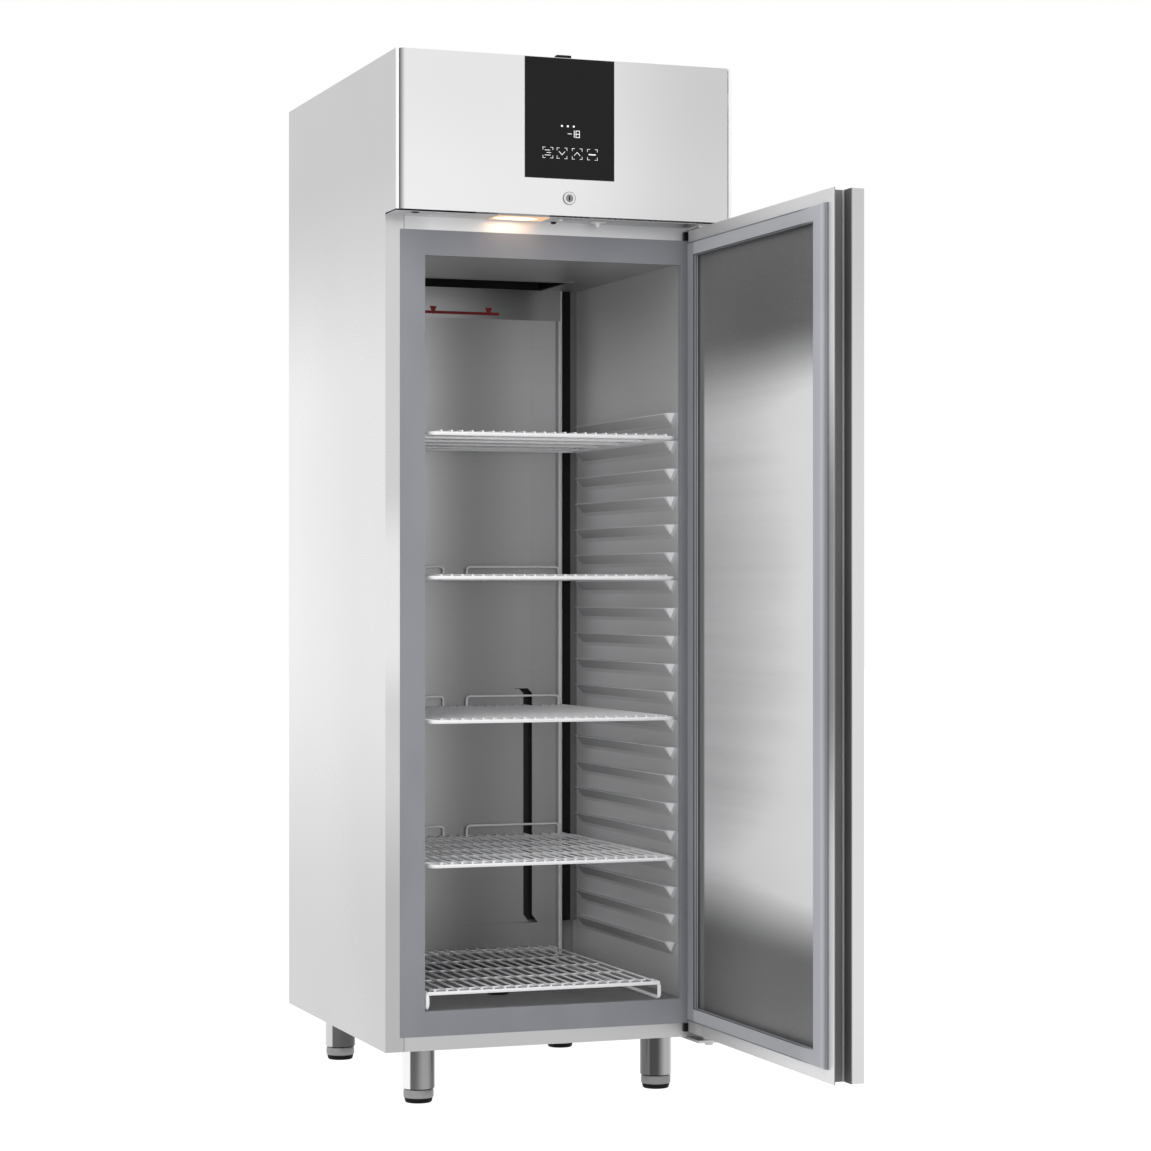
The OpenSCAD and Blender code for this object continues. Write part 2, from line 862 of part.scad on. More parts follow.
// Welded compressor shell on a foot plate and four rubber mounts
module compressor() {
    shell_r = 85;
    foot_z = unit_z + 14;
    shell_z = unit_z + comp_low;
    shell_h = 186;
    place() translate([comp_x, comp_y, 0]) {
        color(black) {
            translate([0, 0, shell_z]) rotate_extrude()
                polygon([[0, 0], [60, 0], [80, 14], [shell_r, 28], [shell_r, 130],
                    [78, 156], [56, 176], [0, shell_h]]);
            block(-100, 100, -70, 70, foot_z, shell_z + 0.2);
        }
        color(copper) {
            translate([30, 0, shell_z + 160]) cylinder(r = 7, h = 50);
            translate([70, 0, shell_z + 60]) rotate([0, 90, 0]) cylinder(r = 8, h = 40);
        }
        color(grip_grey)
            for (x = [-86, 86])
                for (y = [-58, 58])
                    translate([x, y, unit_z]) cylinder(r = 11, h = foot_z - unit_z);
    }
}

// Fins and tubes between two side plates
module finned_coil(x0, x1, y0, y1, z0, z1, fins, rows) {
    plate = 2;
    pitch = (x1 - x0 - plate) / fins;
    step = (z1 - z0) / rows;
    for (x = [x0, x1 - plate])
        block(x, x + plate, y0, y1, z0, z1);
    for (i = [1 : fins - 1])
        block(x0 + i * pitch, x0 + i * pitch + 0.8, y0 + 2, y1 - 2, z0 + 6, z1 - 6);
    for (j = [0 : rows - 1])
        for (y = [y0 + (y1 - y0) * 0.3, y0 + (y1 - y0) * 0.7])
            translate([x0 + plate / 2, y, z0 + (j + 0.5) * step])
                rotate([0, 90, 0])
                    cylinder(r = 5, h = x1 - x0 - plate, $fn = 8);
}

module condenser_coil() {
    place() color(grip_grey)
        finned_coil(cond_x - cond_half, cond_x + cond_half, cond_y, cond_y + cond_deep,
            unit_z, unit_z + cond_h, 24, 8);
}

shroud_y = cond_y + cond_deep;
ring_r = 110;
cond_fan_y = shroud_y + 5;
cond_fan_deep = 26;

module condenser_shroud() {
    plate = 1.5;
    ring_deep = 22;
    place() color(black) difference() {
        union() {
            block(cond_x - cond_half, cond_x + cond_half, shroud_y, shroud_y + plate,
                unit_z, unit_z + cond_h);
            translate([cond_x, shroud_y + ring_deep, fan_z])
                rotate([90, 0, 0]) cylinder(r = ring_r + 2, h = ring_deep);
        }
        translate([cond_x, shroud_y + ring_deep + 1, fan_z])
            rotate([90, 0, 0]) cylinder(r = ring_r, h = ring_deep + 2);
    }
}

// Fan wheel on the Y axis, its hub bored for the motor's shaft
module fan_wheel(x, y, z, r, deep) {
    place() translate([x, y, z]) color(black) difference() {
        union() {
            rotate([-90, 0, 0]) cylinder(r = fan_hub_r, h = deep);
            for (i = [0 : 4])
                rotate([0, 72 * i, 0])
                    intersection() {
                        translate([fan_hub_r - 4, deep / 2, 0]) rotate([24, 0, 0])
                            block(0, r - fan_hub_r + 2, -1, 1, -deep, deep);
                        block(0, r, 1, deep - 1, -r, r);
                    }
        }
        translate([0, -1, 0]) rotate([-90, 0, 0])
            cylinder(r = shaft_r + shaft_gap, h = deep + 2);
    }
}

// Motor behind a fan wheel, with its shaft
module fan_motor(x, y, z, r, deep, reach) {
    translate([x, y, z]) color(grip_grey) {
        rotate([-90, 0, 0]) cylinder(r = r, h = deep);
        translate([0, -reach, 0]) rotate([-90, 0, 0]) cylinder(r = shaft_r, h = reach + 1);
    }
}

module condenser_fan() {
    fan_wheel(cond_x, cond_fan_y, fan_z, ring_r - 6, cond_fan_deep);
}

module condenser_motor() {
    motor_y = cond_fan_y + cond_fan_deep + 4;
    motor_deep = 44;
    arm = 3;
    arm_half = cond_half - 20;
    y1 = motor_y + motor_deep + arm;
    place() {
        fan_motor(cond_x, motor_y, fan_z, 38, motor_deep, cond_fan_deep + 6);
        color(steel) {
            block(cond_x - arm_half, cond_x + arm_half, y1 - arm, y1, fan_z - 9, fan_z + 9);
            for (x = [cond_x - arm_half, cond_x + arm_half - arm])
                block(x, x + arm, shroud_y + 1.5, y1, fan_z - 9, fan_z + 9);
        }
    }
}

// Foamed box and lid over the air openings
module evaporator_box() {
    lid_z = case_z + evap_h - evap_t;
    x1 = evap_half - evap_t;
    place() color(steel) {
        difference() {
            block(-evap_half, evap_half, evap_y0, evap_y1, case_z, lid_z);
            block(-x1, x1, evap_y0 + evap_t, evap_y1 - evap_t, case_z - 1, lid_z + 1);
        }
        block(-evap_half, evap_half, evap_y0, evap_y1, lid_z, case_z + evap_h);
    }
}

coil_y = evap_y0 + evap_t + coil_gap;
coil_deep = 120;

module evaporator_coil() {
    half = evap_half - 50;
    x1 = evap_half - evap_t;
    z0 = case_z + coil_low;
    place() color(liner_steel) {
        finned_coil(-half, half, coil_y, coil_y + coil_deep, z0, z0 + 180, 16, 5);
        both_sides()
            block(half - 1, x1, coil_y + 20, coil_y + coil_deep - 20, z0 + 80, z0 + 83);
    }
}

evap_fan_deep = 22;
evap_fan_r = 80;
evap_fan_gap = 3;
evap_motor_r = 34;
evap_motor_deep = 30;
evap_motor_y = evap_y1 - evap_t - evap_motor_deep;
evap_fan_y = evap_motor_y - evap_fan_gap - evap_fan_deep;

module evaporator_motor() {
    place()
        fan_motor(0, evap_motor_y, evap_fan_z, evap_motor_r, evap_motor_deep,
            evap_fan_deep + evap_fan_gap + 2);
}

module evaporator_fan() {
    fan_wheel(0, evap_fan_y, evap_fan_z, evap_fan_r, evap_fan_deep);
}

// Straight length of wire or tube, an eight-sided bar of across-flats radius r
module rod(a, b, r) {
    v = b - a;
    len = norm(v);
    translate(a)
        rotate([0, acos(v.z / len), atan2(v.y, v.x)])
            rotate([0, 0, 22.5])
                cylinder(r = r / cos(22.5), h = len, $fn = 8);
}

// Bent wire through a list of points, its lengths overlapping at the bends
module wire(p, r) {
    n = len(p) - 1;
    for (i = [0 : n - 1]) {
        d = (p[i + 1] - p[i]) / norm(p[i + 1] - p[i]);
        rod(p[i] - (i > 0 ? 0.4 * r : 0) * d,
            p[i + 1] + (i < n - 1 ? 0.4 * r : 0) * d, r);
    }
}

// Discharge, liquid line with its drier, and suction
module refrigerant_pipes() {
    shell_z = unit_z + comp_low;
    tube = 5;
    side_x = cond_x - cond_half;
    high = shell_z + 222;
    hot_x = side_x - 30;
    mid_y = cond_y + cond_deep / 2;
    place() color(copper) {
        wire([[comp_x + 30, comp_y, shell_z + 210], [comp_x + 30, comp_y, high],
            [hot_x, comp_y, high], [hot_x, mid_y, high], [side_x, mid_y, high]], tube);
        wire([[side_x, mid_y, unit_z + 30], [hot_x, mid_y, unit_z + 30],
            [hot_x, evap_y0, unit_z + 30]], tube);
        translate([hot_x, comp_y, unit_z + 30]) rotate([-90, 0, 0]) cylinder(r = 14, h = 110);
        wire([[comp_x + 110, comp_y, shell_z + 60], [comp_x + 140, comp_y, shell_z + 60],
            [comp_x + 140, evap_y0, shell_z + 60]], tube);
    }
}

// Box of the electrical parts, and the power inlet in the rear sheet
module electrical_box() {
    inlet_deep = 26;
    edge = 8;
    wall = 3;
    x1 = half_w - box_side;
    x0 = x1 - box_w;
    y0 = comp_y;
    y1 = evap_y0 - 31;
    z1 = case_z + box_h;
    place() {
        color(grip_grey) difference() {
            block(x0, x1, y0, y1, unit_z, z1);
            block(x0 + wall, x1 - wall, y0 + wall, y1 - wall, unit_z + wall, z1 - wall);
        }
        color(black) {
            block(inlet_x - inlet_half - edge, inlet_x + inlet_half + edge,
                back_y + sheet_t, cab_d, inlet_z - edge, inlet_z + inlet_h + edge);
            difference() {
                block(inlet_x - inlet_half, inlet_x + inlet_half, cab_d - inlet_deep,
                    cab_d, inlet_z, inlet_z + inlet_h);
                block(inlet_x - inlet_half + 3, inlet_x + inlet_half - 3,
                    cab_d - inlet_deep + 3, cab_d + 1, inlet_z + 3, inlet_z + inlet_h - 3);
            }
        }
    }
}

// Channel behind the fascia that joins the side panels
module front_brace() {
    deep = 20;
    place() color(steel) {
        block(-inner_half, inner_half, brace_y, brace_y + sheet_t, brace_z,
            brace_z + brace_h);
        for (z = [brace_z, brace_z + brace_h - sheet_t])
            block(-inner_half, inner_half, brace_y, brace_y + deep, z, z + sheet_t);
    }
}

// Catch above the fascia and the two pivot pieces under it
module fascia_clips() {
    catch_x = 1;
    catch_half = 15;
    clip_h = clip_z - case_z - sheet_t;
    nose_r = clip_y - sheet_t - 0.2;
    place() color(black) {
        block(catch_x - catch_half, catch_x + catch_half, fascia_deep + ear_gap, brace_y,
            brace_z + 14, brace_z + brace_h);
        block(catch_x - catch_half, catch_x + catch_half, fascia_deep + ear_gap,
            brace_y - 2, brace_z + 14, top_z + 10);
        both_sides() {
            block(clip_x, clip_x + clip_w, 8, 20, case_z + sheet_t,
                case_z + sheet_t + clip_h + nose_r);
            block(clip_x, clip_x + clip_w, clip_y, 9, clip_z - nose_r, clip_z + nose_r);
            translate([clip_x, clip_y, clip_z]) rotate([0, 90, 0]) {
                cylinder(r = nose_r, h = clip_w);
                cylinder(r = clip_r, h = clip_w + clip_reach);
            }
        }
    }
}

// Door

// Room of the lock's cam in the door's upper edge
module cam_room() {
    block(lock_x - cam_w / 2 - 3, lock_x + 33, cam_y - cam_gap, cam_y + cam_t + cam_gap,
        door_z1 - bush_h / 3, door_z1 + 1);
}

module bush_bores() {
    for (z = [door_z0 - 1, door_z1 - bush_h])
        translate([pivot_x, pivot_y, z]) cylinder(r = bush_r, h = bush_h + 1);
}

module door_outer_skin() {
    door_place() color(steel) difference() {
        union() {
            block(door_x0, door_x1, 0, sheet_t, door_z0, door_z1);
            block(door_x1 - sheet_t, door_x1, 0, door_t, door_z0, door_z1);
            block(door_x0, door_x0 + sheet_t, 0, grip_lip, door_z0, door_z1);
            for (z = [door_z0, door_z1 - sheet_t]) {
                block(door_x0, door_x1, 0, grip_lip, z, z + sheet_t);
                block(grip_x1, door_x1, 0, grip_y1, z, z + sheet_t);
            }
        }
        bush_bores();
        cam_room();
    }
}

recess_x0 = gasket_x0 + gasket_w - recess_lap;
recess_x1 = gasket_x1 - gasket_w + recess_lap;
recess_z0 = gasket_z0 + gasket_end_w - recess_lap;
recess_z1 = gasket_z1 - gasket_end_w + recess_lap;

module door_inner_skin() {
    t = sheet_t;
    door_place() color(steel) difference() {
        union() {
            block(door_x0, door_x1 - t, grip_y1, door_t, door_z0, door_z1);
            block(recess_x0, recess_x1, recess_y - t, door_t, recess_z0, recess_z1);
        }
        block(recess_x0 + t, recess_x1 - t, recess_y, door_t + 1, recess_z0 + t,
            recess_z1 - t);
    }
}

module door_insulation() {
    t = sheet_t;
    door_place() color(foam_cream) difference() {
        union() {
            block(grip_x1, door_x1 - t, t, grip_y1, door_z0 + t, door_z1 - t);
            block(door_x0 + t, grip_x1 + 1, t, grip_lip, door_z0 + t, door_z1 - t);
        }
        block(recess_x0, recess_x1, recess_y - t, door_t, recess_z0, recess_z1);
        bush_bores();
        cam_room();
    }
}

// Frame of the gasket between its outer margins and its inner edge
module gasket_frame(side, end, y0, y1) {
    difference() {
        block(gasket_x0 + side, gasket_x1 - side, y0, y1, gasket_z0 + end, gasket_z1 - end);
        block(gasket_x0 + gasket_w, gasket_x1 - gasket_w, y0 - 1, y1 + 1,
            gasket_z0 + gasket_end_w, gasket_z1 - gasket_end_w);
    }
}

module door_gasket() {
    door_place() color(gasket_grey) {
        gasket_frame(0, 0, door_t, door_t + gasket_base);
        gasket_frame(bulb_side, bulb_end, door_t + gasket_base - 0.1, gasket_y);
    }
}

// Channel along the free edge, open at both ends
module door_grip() {
    w = grip_wall;
    door_place() color(grip_grey) difference() {
        block(door_x0, grip_x1, grip_lip, grip_y1, door_z0, door_z1);
        block(door_x0 - 1, grip_x1 - w, grip_lip + w, grip_y1 - w, door_z0 - 1,
            door_z1 + 1);
    }
}

module door_bushes() {
    collar_h = door_gap_low - 0.3;
    bore = pin_r + pin_gap;
    door_place() color("white") {
        translate([pivot_x, pivot_y, 0]) {
            difference() {
                translate([0, 0, door_z1 - bush_h]) cylinder(r = bush_r, h = bush_h);
                translate([0, 0, door_z1 - bush_h - 1]) cylinder(r = bore, h = bush_h + 2);
            }
            difference() {
                union() {
                    translate([0, 0, door_z0]) cylinder(r = bush_r, h = bush_h);
                    translate([0, 0, door_z0 - collar_h])
                        cylinder(r = bush_r + 2, h = collar_h);
                }
                translate([0, 0, door_z0 - collar_h - 1]) cylinder(r = bore, h = 2 * bush_h);
            }
        }
    }
}

// Fascia and control panel

module fascia_panel() {
    z0 = case_z + fascia_gap;
    z1 = top_z;
    ear_x = clip_x + clip_w + ear_gap;
    place() color(steel) difference() {
        union() {
            translate([0, 0, z0])
                linear_extrude(z1 - z0)
                    folded_plan(fascia_half, fascia_deep, fascia_r, sheet_t);
            translate([0, 0, z1 - sheet_t])
                linear_extrude(sheet_t)
                    rounded_plan(fascia_half, fascia_deep, fascia_r);
            both_sides()
                block(ear_x, ear_x + ear_t, 0.5, clip_y + 4, z0, clip_z + 5);
        }
        block(glass_x - 72, glass_x + 72, -1, sheet_t + 1, z1 - 190, z1 - 90);
        translate([lock_x, 5, lock_z]) rotate([90, 0, 0])
            cylinder(r = lock_body_r + 0.1, h = 6);
        both_sides()
            translate([ear_x - 1, clip_y, clip_z]) rotate([0, 90, 0])
                cylinder(r = clip_r + 0.05, h = ear_t + 2);
    }
}

module control_glass() {
    place() color(black)
        block(glass_x - glass_w / 2, glass_x + glass_w / 2, -glass_t, 0,
            top_z - sheet_t - glass_h, top_z - sheet_t);
}

module control_board() {
    half = 88;
    y0 = 8;
    z0 = top_z - 208;
    z1 = top_z - 72;
    place() color([0.12, 0.35, 0.2]) {
        block(glass_x - half, glass_x + half, y0, y0 + 1.6, z0, z1);
        for (x = [glass_x - half + 6, glass_x + half - 6])
            for (z = [z0 + 6, z1 - 6])
                translate([x, y0 + 0.5, z]) rotate([90, 0, 0])
                    cylinder(r = 3, h = y0 + 0.5 - sheet_t);
        block(glass_x - 50, glass_x + 50, y0 - 4, y0 + 0.5, z0 + 40, z0 + 80);
    }
}

module lock_housing() {
    flange_t = 2;
    place() translate([lock_x, 0, lock_z]) color(steel) rotate([-90, 0, 0]) difference() {
        union() {
            translate([0, 0, -flange_t]) cylinder(r = lock_r, h = flange_t);
            translate([0, 0, -0.1]) cylinder(r = lock_body_r, h = fascia_deep + 0.1);
            translate([0, 0, sheet_t]) cylinder(r = lock_body_r + 4, h = 3, $fn = 6);
        }
        translate([0, 0, -flange_t - 1])
            cylinder(r = plug_r + 0.05, h = fascia_deep + flange_t + 2);
    }
}

// Plug of the lock with its keyhole and the cam that reaches into the door
module lock_cylinder() {
    place() translate([lock_x, 0, lock_z]) color(steel) difference() {
        union() {
            translate([0, -1.8, 0]) rotate([-90, 0, 0]) cylinder(r = plug_r, h = cam_y + 2);
            block(-cam_w / 2, cam_l, cam_y, cam_y + cam_t, -cam_w / 2, cam_w / 2);
        }
        block(-1, 1, -2, 4, -4, 4);
    }
}

// Shelves

// Rounded loop of the frame wire at height z
module wire_loop(half, y0, y1, z, r) {
    c = corner_r;
    n = bend_steps;
    corners = [[c - half, y0 + c, 180], [half - c, y0 + c, 270],
        [half - c, y1 - c, 0], [c - half, y1 - c, 90]];
    loop = [for (k = corners) for (i = [0 : n])
        [k[0] + c * cos(k[2] + i * 90 / n), k[1] + c * sin(k[2] + i * 90 / n), z]];
    wire(concat(loop, [loop[0]]), r);
}

module wire_shelf(z) {
    r = frame_wire;
    y0 = shelf_y0 + r;
    y1 = shelf_y0 + shelf_d - r;
    top_half = wire_side - 21;
    pitch = 2 * top_half / (wire_count - 1);
    step = (shelf_d - 120) / (cross_count - 1);
    place() color(liner_steel) {
        wire_loop(wire_side, y0, y1, z, r);
        for (i = [0 : wire_count - 1])
            rod([i * pitch - top_half, y0 - 3, z + top_wire_z],
                [i * pitch - top_half, y1 + 3, z + top_wire_z], top_wire);
        for (i = [0 : cross_count - 1])
            rod([-wire_side, shelf_y0 + 60 + i * step, z + cross_wire_z],
                [wire_side, shelf_y0 + 60 + i * step, z + cross_wire_z], cross_wire);
        for (s = [stop_left, stop_right])
            wire([[s[0], y1, z], [s[0], y1, z + stop_h - 6], [s[0] + 6, y1, z + stop_h],
                [s[1] - 6, y1, z + stop_h], [s[1], y1, z + stop_h - 6], [s[1], y1, z]],
                cross_wire);
    }
}

function shelf_z(i) = rib_z(shelf_ribs[i]) + frame_wire + shelf_gap;

module shelf_top() wire_shelf(shelf_z(0));

module shelf_upper() wire_shelf(shelf_z(1));

module shelf_lower() wire_shelf(shelf_z(2));

module shelf_bottom() wire_shelf(shelf_z(3));

// Grid over the floor, on two bent runners butted against its front and rear wires
module floor_grid() {
    r = frame_wire;
    low = floor_z + shelf_gap + r;
    top = floor_z + grid_h - 2 * top_wire + wire_sink - r;
    y0 = shelf_y0 + r + 1;
    y1 = shelf_y0 + shelf_d - r - 2;
    half = grid_half - 15;
    pitch = 2 * half / (grid_count - 1);
    step = (y1 - y0 - 80) / 4;
    place() translate([-grid_left, 0, 0]) color(liner_steel) {
        for (y = [y0, y1])
            rod([r + seam - grid_half, y, top], [grid_half - r - seam, y, top], r);
        both_sides()
            wire([[grid_half, y0, top], [grid_half, y0 + 13, top - 2],
                [grid_half, y0 + 20, top - 12], [grid_half, y0 + 21, low + 7],
                [grid_half, y0 + 27, low], [grid_half, y1 - 16, low],
                [grid_half, y1 - 6, low + 8], [grid_half, y1, top]], r);
        for (i = [0 : grid_count - 1])
            rod([i * pitch - half, y0 - 3, top + top_wire_z],
                [i * pitch - half, y1 + 3, top + top_wire_z], top_wire);
        for (i = [0 : 4])
            rod([-half, y0 + 40 + i * step, top + cross_wire_z],
                [half, y0 + 40 + i * step, top + cross_wire_z], cross_wire);
    }
}

left_side_panel();
right_side_panel();
rear_panel();
base_panel();
roof_panel();
face_rails();
insulation();
liner_walls();
liner_rear();
liner_ends();
opening_frame();
duct_panel();
duct_cover();
duct_band();
corner_strips();
air_collar();
floor_plug();
hinge_plates();
hinge_blocks();
hinge_screws();
header_plate();
lamp_housing();
lamp_lens();
door_switch();
leg_sleeves();
unit_tray();
compressor();
condenser_coil();
condenser_shroud();
condenser_motor();
evaporator_box();
evaporator_coil();
evaporator_motor();
refrigerant_pipes();
electrical_box();
front_brace();
fascia_clips();
door_outer_skin();
door_inner_skin();
door_insulation();
door_gasket();
door_grip();
door_bushes();
fascia_panel();
control_glass();
control_board();
lock_housing();
lock_cylinder();
switch_plunger();
condenser_fan();
evaporator_fan();
foot_front_left();
foot_front_right();
foot_rear_left();
foot_rear_right();
shelf_top();
shelf_upper();
shelf_lower();
shelf_bottom();
floor_grid();
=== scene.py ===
"""Looks of an upright professional freezer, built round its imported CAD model.

Metres: X to the right, Y to the back, Z up from the floor. The door stands open at
a right angle.
"""

import math

import bpy
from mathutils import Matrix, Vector


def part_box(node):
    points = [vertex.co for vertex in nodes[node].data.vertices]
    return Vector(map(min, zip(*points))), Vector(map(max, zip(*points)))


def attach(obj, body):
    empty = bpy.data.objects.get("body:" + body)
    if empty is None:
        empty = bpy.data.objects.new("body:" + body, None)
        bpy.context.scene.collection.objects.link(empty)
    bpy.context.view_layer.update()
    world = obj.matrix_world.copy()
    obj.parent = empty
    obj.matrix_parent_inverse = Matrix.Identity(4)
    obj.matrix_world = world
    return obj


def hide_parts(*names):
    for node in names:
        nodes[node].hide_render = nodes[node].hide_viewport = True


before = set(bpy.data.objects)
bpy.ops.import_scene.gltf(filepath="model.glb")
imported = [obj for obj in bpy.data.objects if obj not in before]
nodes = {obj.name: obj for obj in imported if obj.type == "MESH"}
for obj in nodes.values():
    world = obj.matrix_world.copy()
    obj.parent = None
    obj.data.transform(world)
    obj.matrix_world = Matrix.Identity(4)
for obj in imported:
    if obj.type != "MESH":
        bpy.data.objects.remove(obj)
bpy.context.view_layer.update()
bpy.ops.object.select_all(action="DESELECT")


# Outer sheets: satin stainless steel, folded and fixed to the foam. The grain of
# the brushing runs level on every sheet, and the surface is never quite even.

BRUSH_LONG = 3.0
BRUSH_FINE = 900.0
BRUSH_DEPTH = 0.0002
STREAK_SHARE = 0.35
PAINTED_LIGHT_SHARE = 0.85


class Socket:
    """An output of a material's node that takes part in plain arithmetic."""

    def __init__(self, tree, output):
        self.tree = tree
        self.output = output

    def combine(self, operation, *values):
        step = self.tree.nodes.new("ShaderNodeMath")
        step.operation = operation
        for place, value in zip(step.inputs, values):
            if isinstance(value, Socket):
                self.tree.links.new(value.output, place)
            else:
                place.default_value = value
        return Socket(self.tree, step.outputs[0])

    def __add__(self, other):
        return self.combine("ADD", self, other)

    def __radd__(self, other):
        return self.combine("ADD", other, self)

    def __sub__(self, other):
        return self.combine("SUBTRACT", self, other)

    def __rsub__(self, other):
        return self.combine("SUBTRACT", other, self)

    def __mul__(self, other):
        return self.combine("MULTIPLY", self, other)

    def step_up(self, low, high):
        """0 below low, 1 above high and a smooth rise between them."""
        step = self.tree.nodes.new("ShaderNodeMapRange")
        step.interpolation_type = "SMOOTHSTEP"
        self.tree.links.new(self.output, step.inputs["Value"])
        step.inputs["From Min"].default_value = low
        step.inputs["From Max"].default_value = high
        return Socket(self.tree, step.outputs[0])

    def within(self, low, high, soft):
        """1 between low and high and 0 outside them, with soft edges."""
        return self.step_up(low - soft, low) * (1.0 - self.step_up(high, high + soft))


class Finish:
    """A material, and the one way in which its nodes are added."""

    def __init__(self, name, **sockets):
        self.material = bpy.data.materials.new(name)
        self.material.use_nodes = True
        self.tree = self.material.node_tree
        self.surface = self.tree.nodes["Principled BSDF"]
        self.set(**sockets)

    def node(self, kind, settings=None, sockets=None, output=0):
        made = self.tree.nodes.new(kind)
        for name, value in (settings or {}).items():
            setattr(made, name, value)
        for name, value in (sockets or {}).items():
            self.feed(made.inputs[name], value)
        return Socket(self.tree, made.outputs[output])

    def feed(self, place, value):
        if isinstance(value, Socket):
            self.tree.links.new(value.output, place)
        else:
            place.default_value = value

    def set(self, **sockets):
        for name, value in sockets.items():
            self.feed(self.surface.inputs[name.replace("_", " ")], value)

    def place(self, scale=(1.0, 1.0, 1.0)):
        """The point on the piece in metres, stretched by scale."""
        where = self.node("ShaderNodeTexCoord", output="Object")
        return self.node(
            "ShaderNodeVectorMath",
            {"operation": "MULTIPLY"},
            {0: where, 1: scale},
        )

    def noise(self, scale, detail=2.0):
        return self.node(
            "ShaderNodeTexNoise",
            sockets={"Vector": self.place(scale), "Scale": 1.0, "Detail": detail},
        )

    def height(self, axis):
        """One coordinate of the point on the piece, in metres."""
        return self.node(
            "ShaderNodeSeparateXYZ", sockets={"Vector": self.place()}, output=axis
        )

    def blend(self, amount, low, high):
        """A colour between low and high."""
        return self.node(
            "ShaderNodeMix",
            {"data_type": "RGBA"},
            {0: amount, 6: low, 7: high},
            output=2,
        )

    def bump(self, level, strength, depth):
        raised = self.node(
            "ShaderNodeBump",
            sockets={"Height": level, "Strength": strength, "Distance": depth},
        )
        self.set(Normal=raised)


def grey(level):
    return (level, level, level * 1.01, 1.0)


def brushed_steel(name, dark, light, rough, grain, cloud=(1.6, 1.6, 0.9), metal=1.0,
                  slow=None, show=1.0, patches=()):
    """Brushed stainless: streaks along the grain over slow, faint clouds.

    slow is a function that takes the finish and gives its slow change from dark, 0,
    to light, 1, over the sheet: painted light and shade. show is how strongly the streaks
    are seen. patches are small places with a tone of their own, mostly painted light and
    shade: where, how light, how metallic.
    """
    made = Finish(name)
    streaks = made.noise(grain)
    clouds = made.noise(cloud, 1.0)
    share = STREAK_SHARE * show
    mix = (streaks * share + clouds * (1.0 - share)).step_up(0.3, 0.7)
    if slow:
        mix = slow(made) * PAINTED_LIGHT_SHARE + mix * (1.0 - PAINTED_LIGHT_SHARE)
    colour = made.blend(mix, grey(dark), grey(light))
    for where, level, metal_there in patches:
        amount = where(made)
        colour = made.blend(amount, colour, grey(level))
        metal = amount * metal_there + (1.0 - amount) * metal
    made.set(
        Base_Color=colour,
        Metallic=metal,
        Roughness=rough + streaks * (0.12 * show) + clouds * 0.06,
    )
    made.bump(streaks, 0.08 * show, BRUSH_DEPTH)
    return made


def outward(made, low, high):
    """0 nearer to the middle plane than low, 1 farther from it than high."""
    x = made.height("X")
    return (x * x).step_up(low ** 2, high ** 2)


def wear(piece, made, *names):
    """Gives a finish to one piece, or to the CAD nodes with these names."""
    for target in [piece] if piece else [nodes[n] for n in names]:
        target.data.materials.clear()
        target.data.materials.append(made.material)


LEVEL_GRAIN = (BRUSH_LONG, BRUSH_LONG, BRUSH_FINE)
HEADER_LOW = 1.76
HEADER_FOLD_BACK = -0.0924
FACE_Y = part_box("face_rails")[0].y


def side_painted_light(made):
    """Painted light: the side sheets are lightest at two thirds of their height."""
    z = made.height("Z")
    y = made.height("Y")
    hump = z.step_up(0.25, 1.05) * (1.0 - z.step_up(1.4, 1.92))
    return hump * 1.04 * (0.78 + y.step_up(-0.02, 0.7) * 0.28)


def fascia_painted_light(made):
    """Painted light: the fascia is lighter towards its left and its lower edge."""
    left = 1.0 - made.height("X").step_up(-0.05, 0.33)
    return left * 0.75 + (1.0 - made.height("Z").step_up(1.78, 2.05)) * 0.2


def header_fold_highlight(made):
    """Painted highlight: the narrow fold beside the fascia faces the front and shines."""
    return 1.0 - made.height("Y").step_up(HEADER_FOLD_BACK - 0.001, HEADER_FOLD_BACK)


def fascia_edge_painted_reflection(made):
    """Painted reflection: the fascia's rounded left edge mirrors the dark gap beside it.
    """
    return (0.0 - made.height("X")).step_up(0.336, 0.3505)


def front_fold(made):
    """The side sheets' front folds below the header, with a painted tone for the light
    they face.
    """
    below = 1.0 - made.height("Z").step_up(HEADER_LOW, HEADER_LOW + 0.005)
    return (1.0 - made.height("Y").step_up(FACE_Y + 0.0003, FACE_Y + 0.0008)) * below


def fold_painted_reflection(made):
    """Painted reflection: halfway up, the front folds mirror the bright room."""
    return front_fold(made) * made.height("Z").within(0.92, 1.1, 0.14)


def fold_painted_shade(made):
    """Painted shade: low down, the front folds are darker."""
    return front_fold(made) * (1.0 - made.height("Z").step_up(0.38, 0.7))


outer_steel = brushed_steel("outer_stainless", 0.54, 0.7, 0.24, LEVEL_GRAIN, show=0.4)
wear(None, outer_steel, "rear_panel", "base_panel", "door_outer_skin", "front_brace")
side_steel = brushed_steel(
    "side_stainless", 0.5, 0.86, 0.24, LEVEL_GRAIN, slow=side_painted_light, show=0.1,
    patches=(
        (front_fold, 0.64, 1.0), (fold_painted_reflection, 0.8, 1.0), (fold_painted_shade, 0.46, 1.0),
        (header_fold_highlight, 0.97, 0.1),
    ),
)
wear(None, side_steel, "left_side_panel", "right_side_panel")
fascia_steel = brushed_steel(
    "fascia_stainless", 0.58, 0.9, 0.22, LEVEL_GRAIN, slow=fascia_painted_light, show=0.15,
    patches=((fascia_edge_painted_reflection, 0.1, 1.0),),
)
wear(None, fascia_steel, "fascia_panel")


def rail_seam(made):
    """The thin seam between a rail and the side sheet's fold."""
    return outward(made, 0.3155, 0.3165)


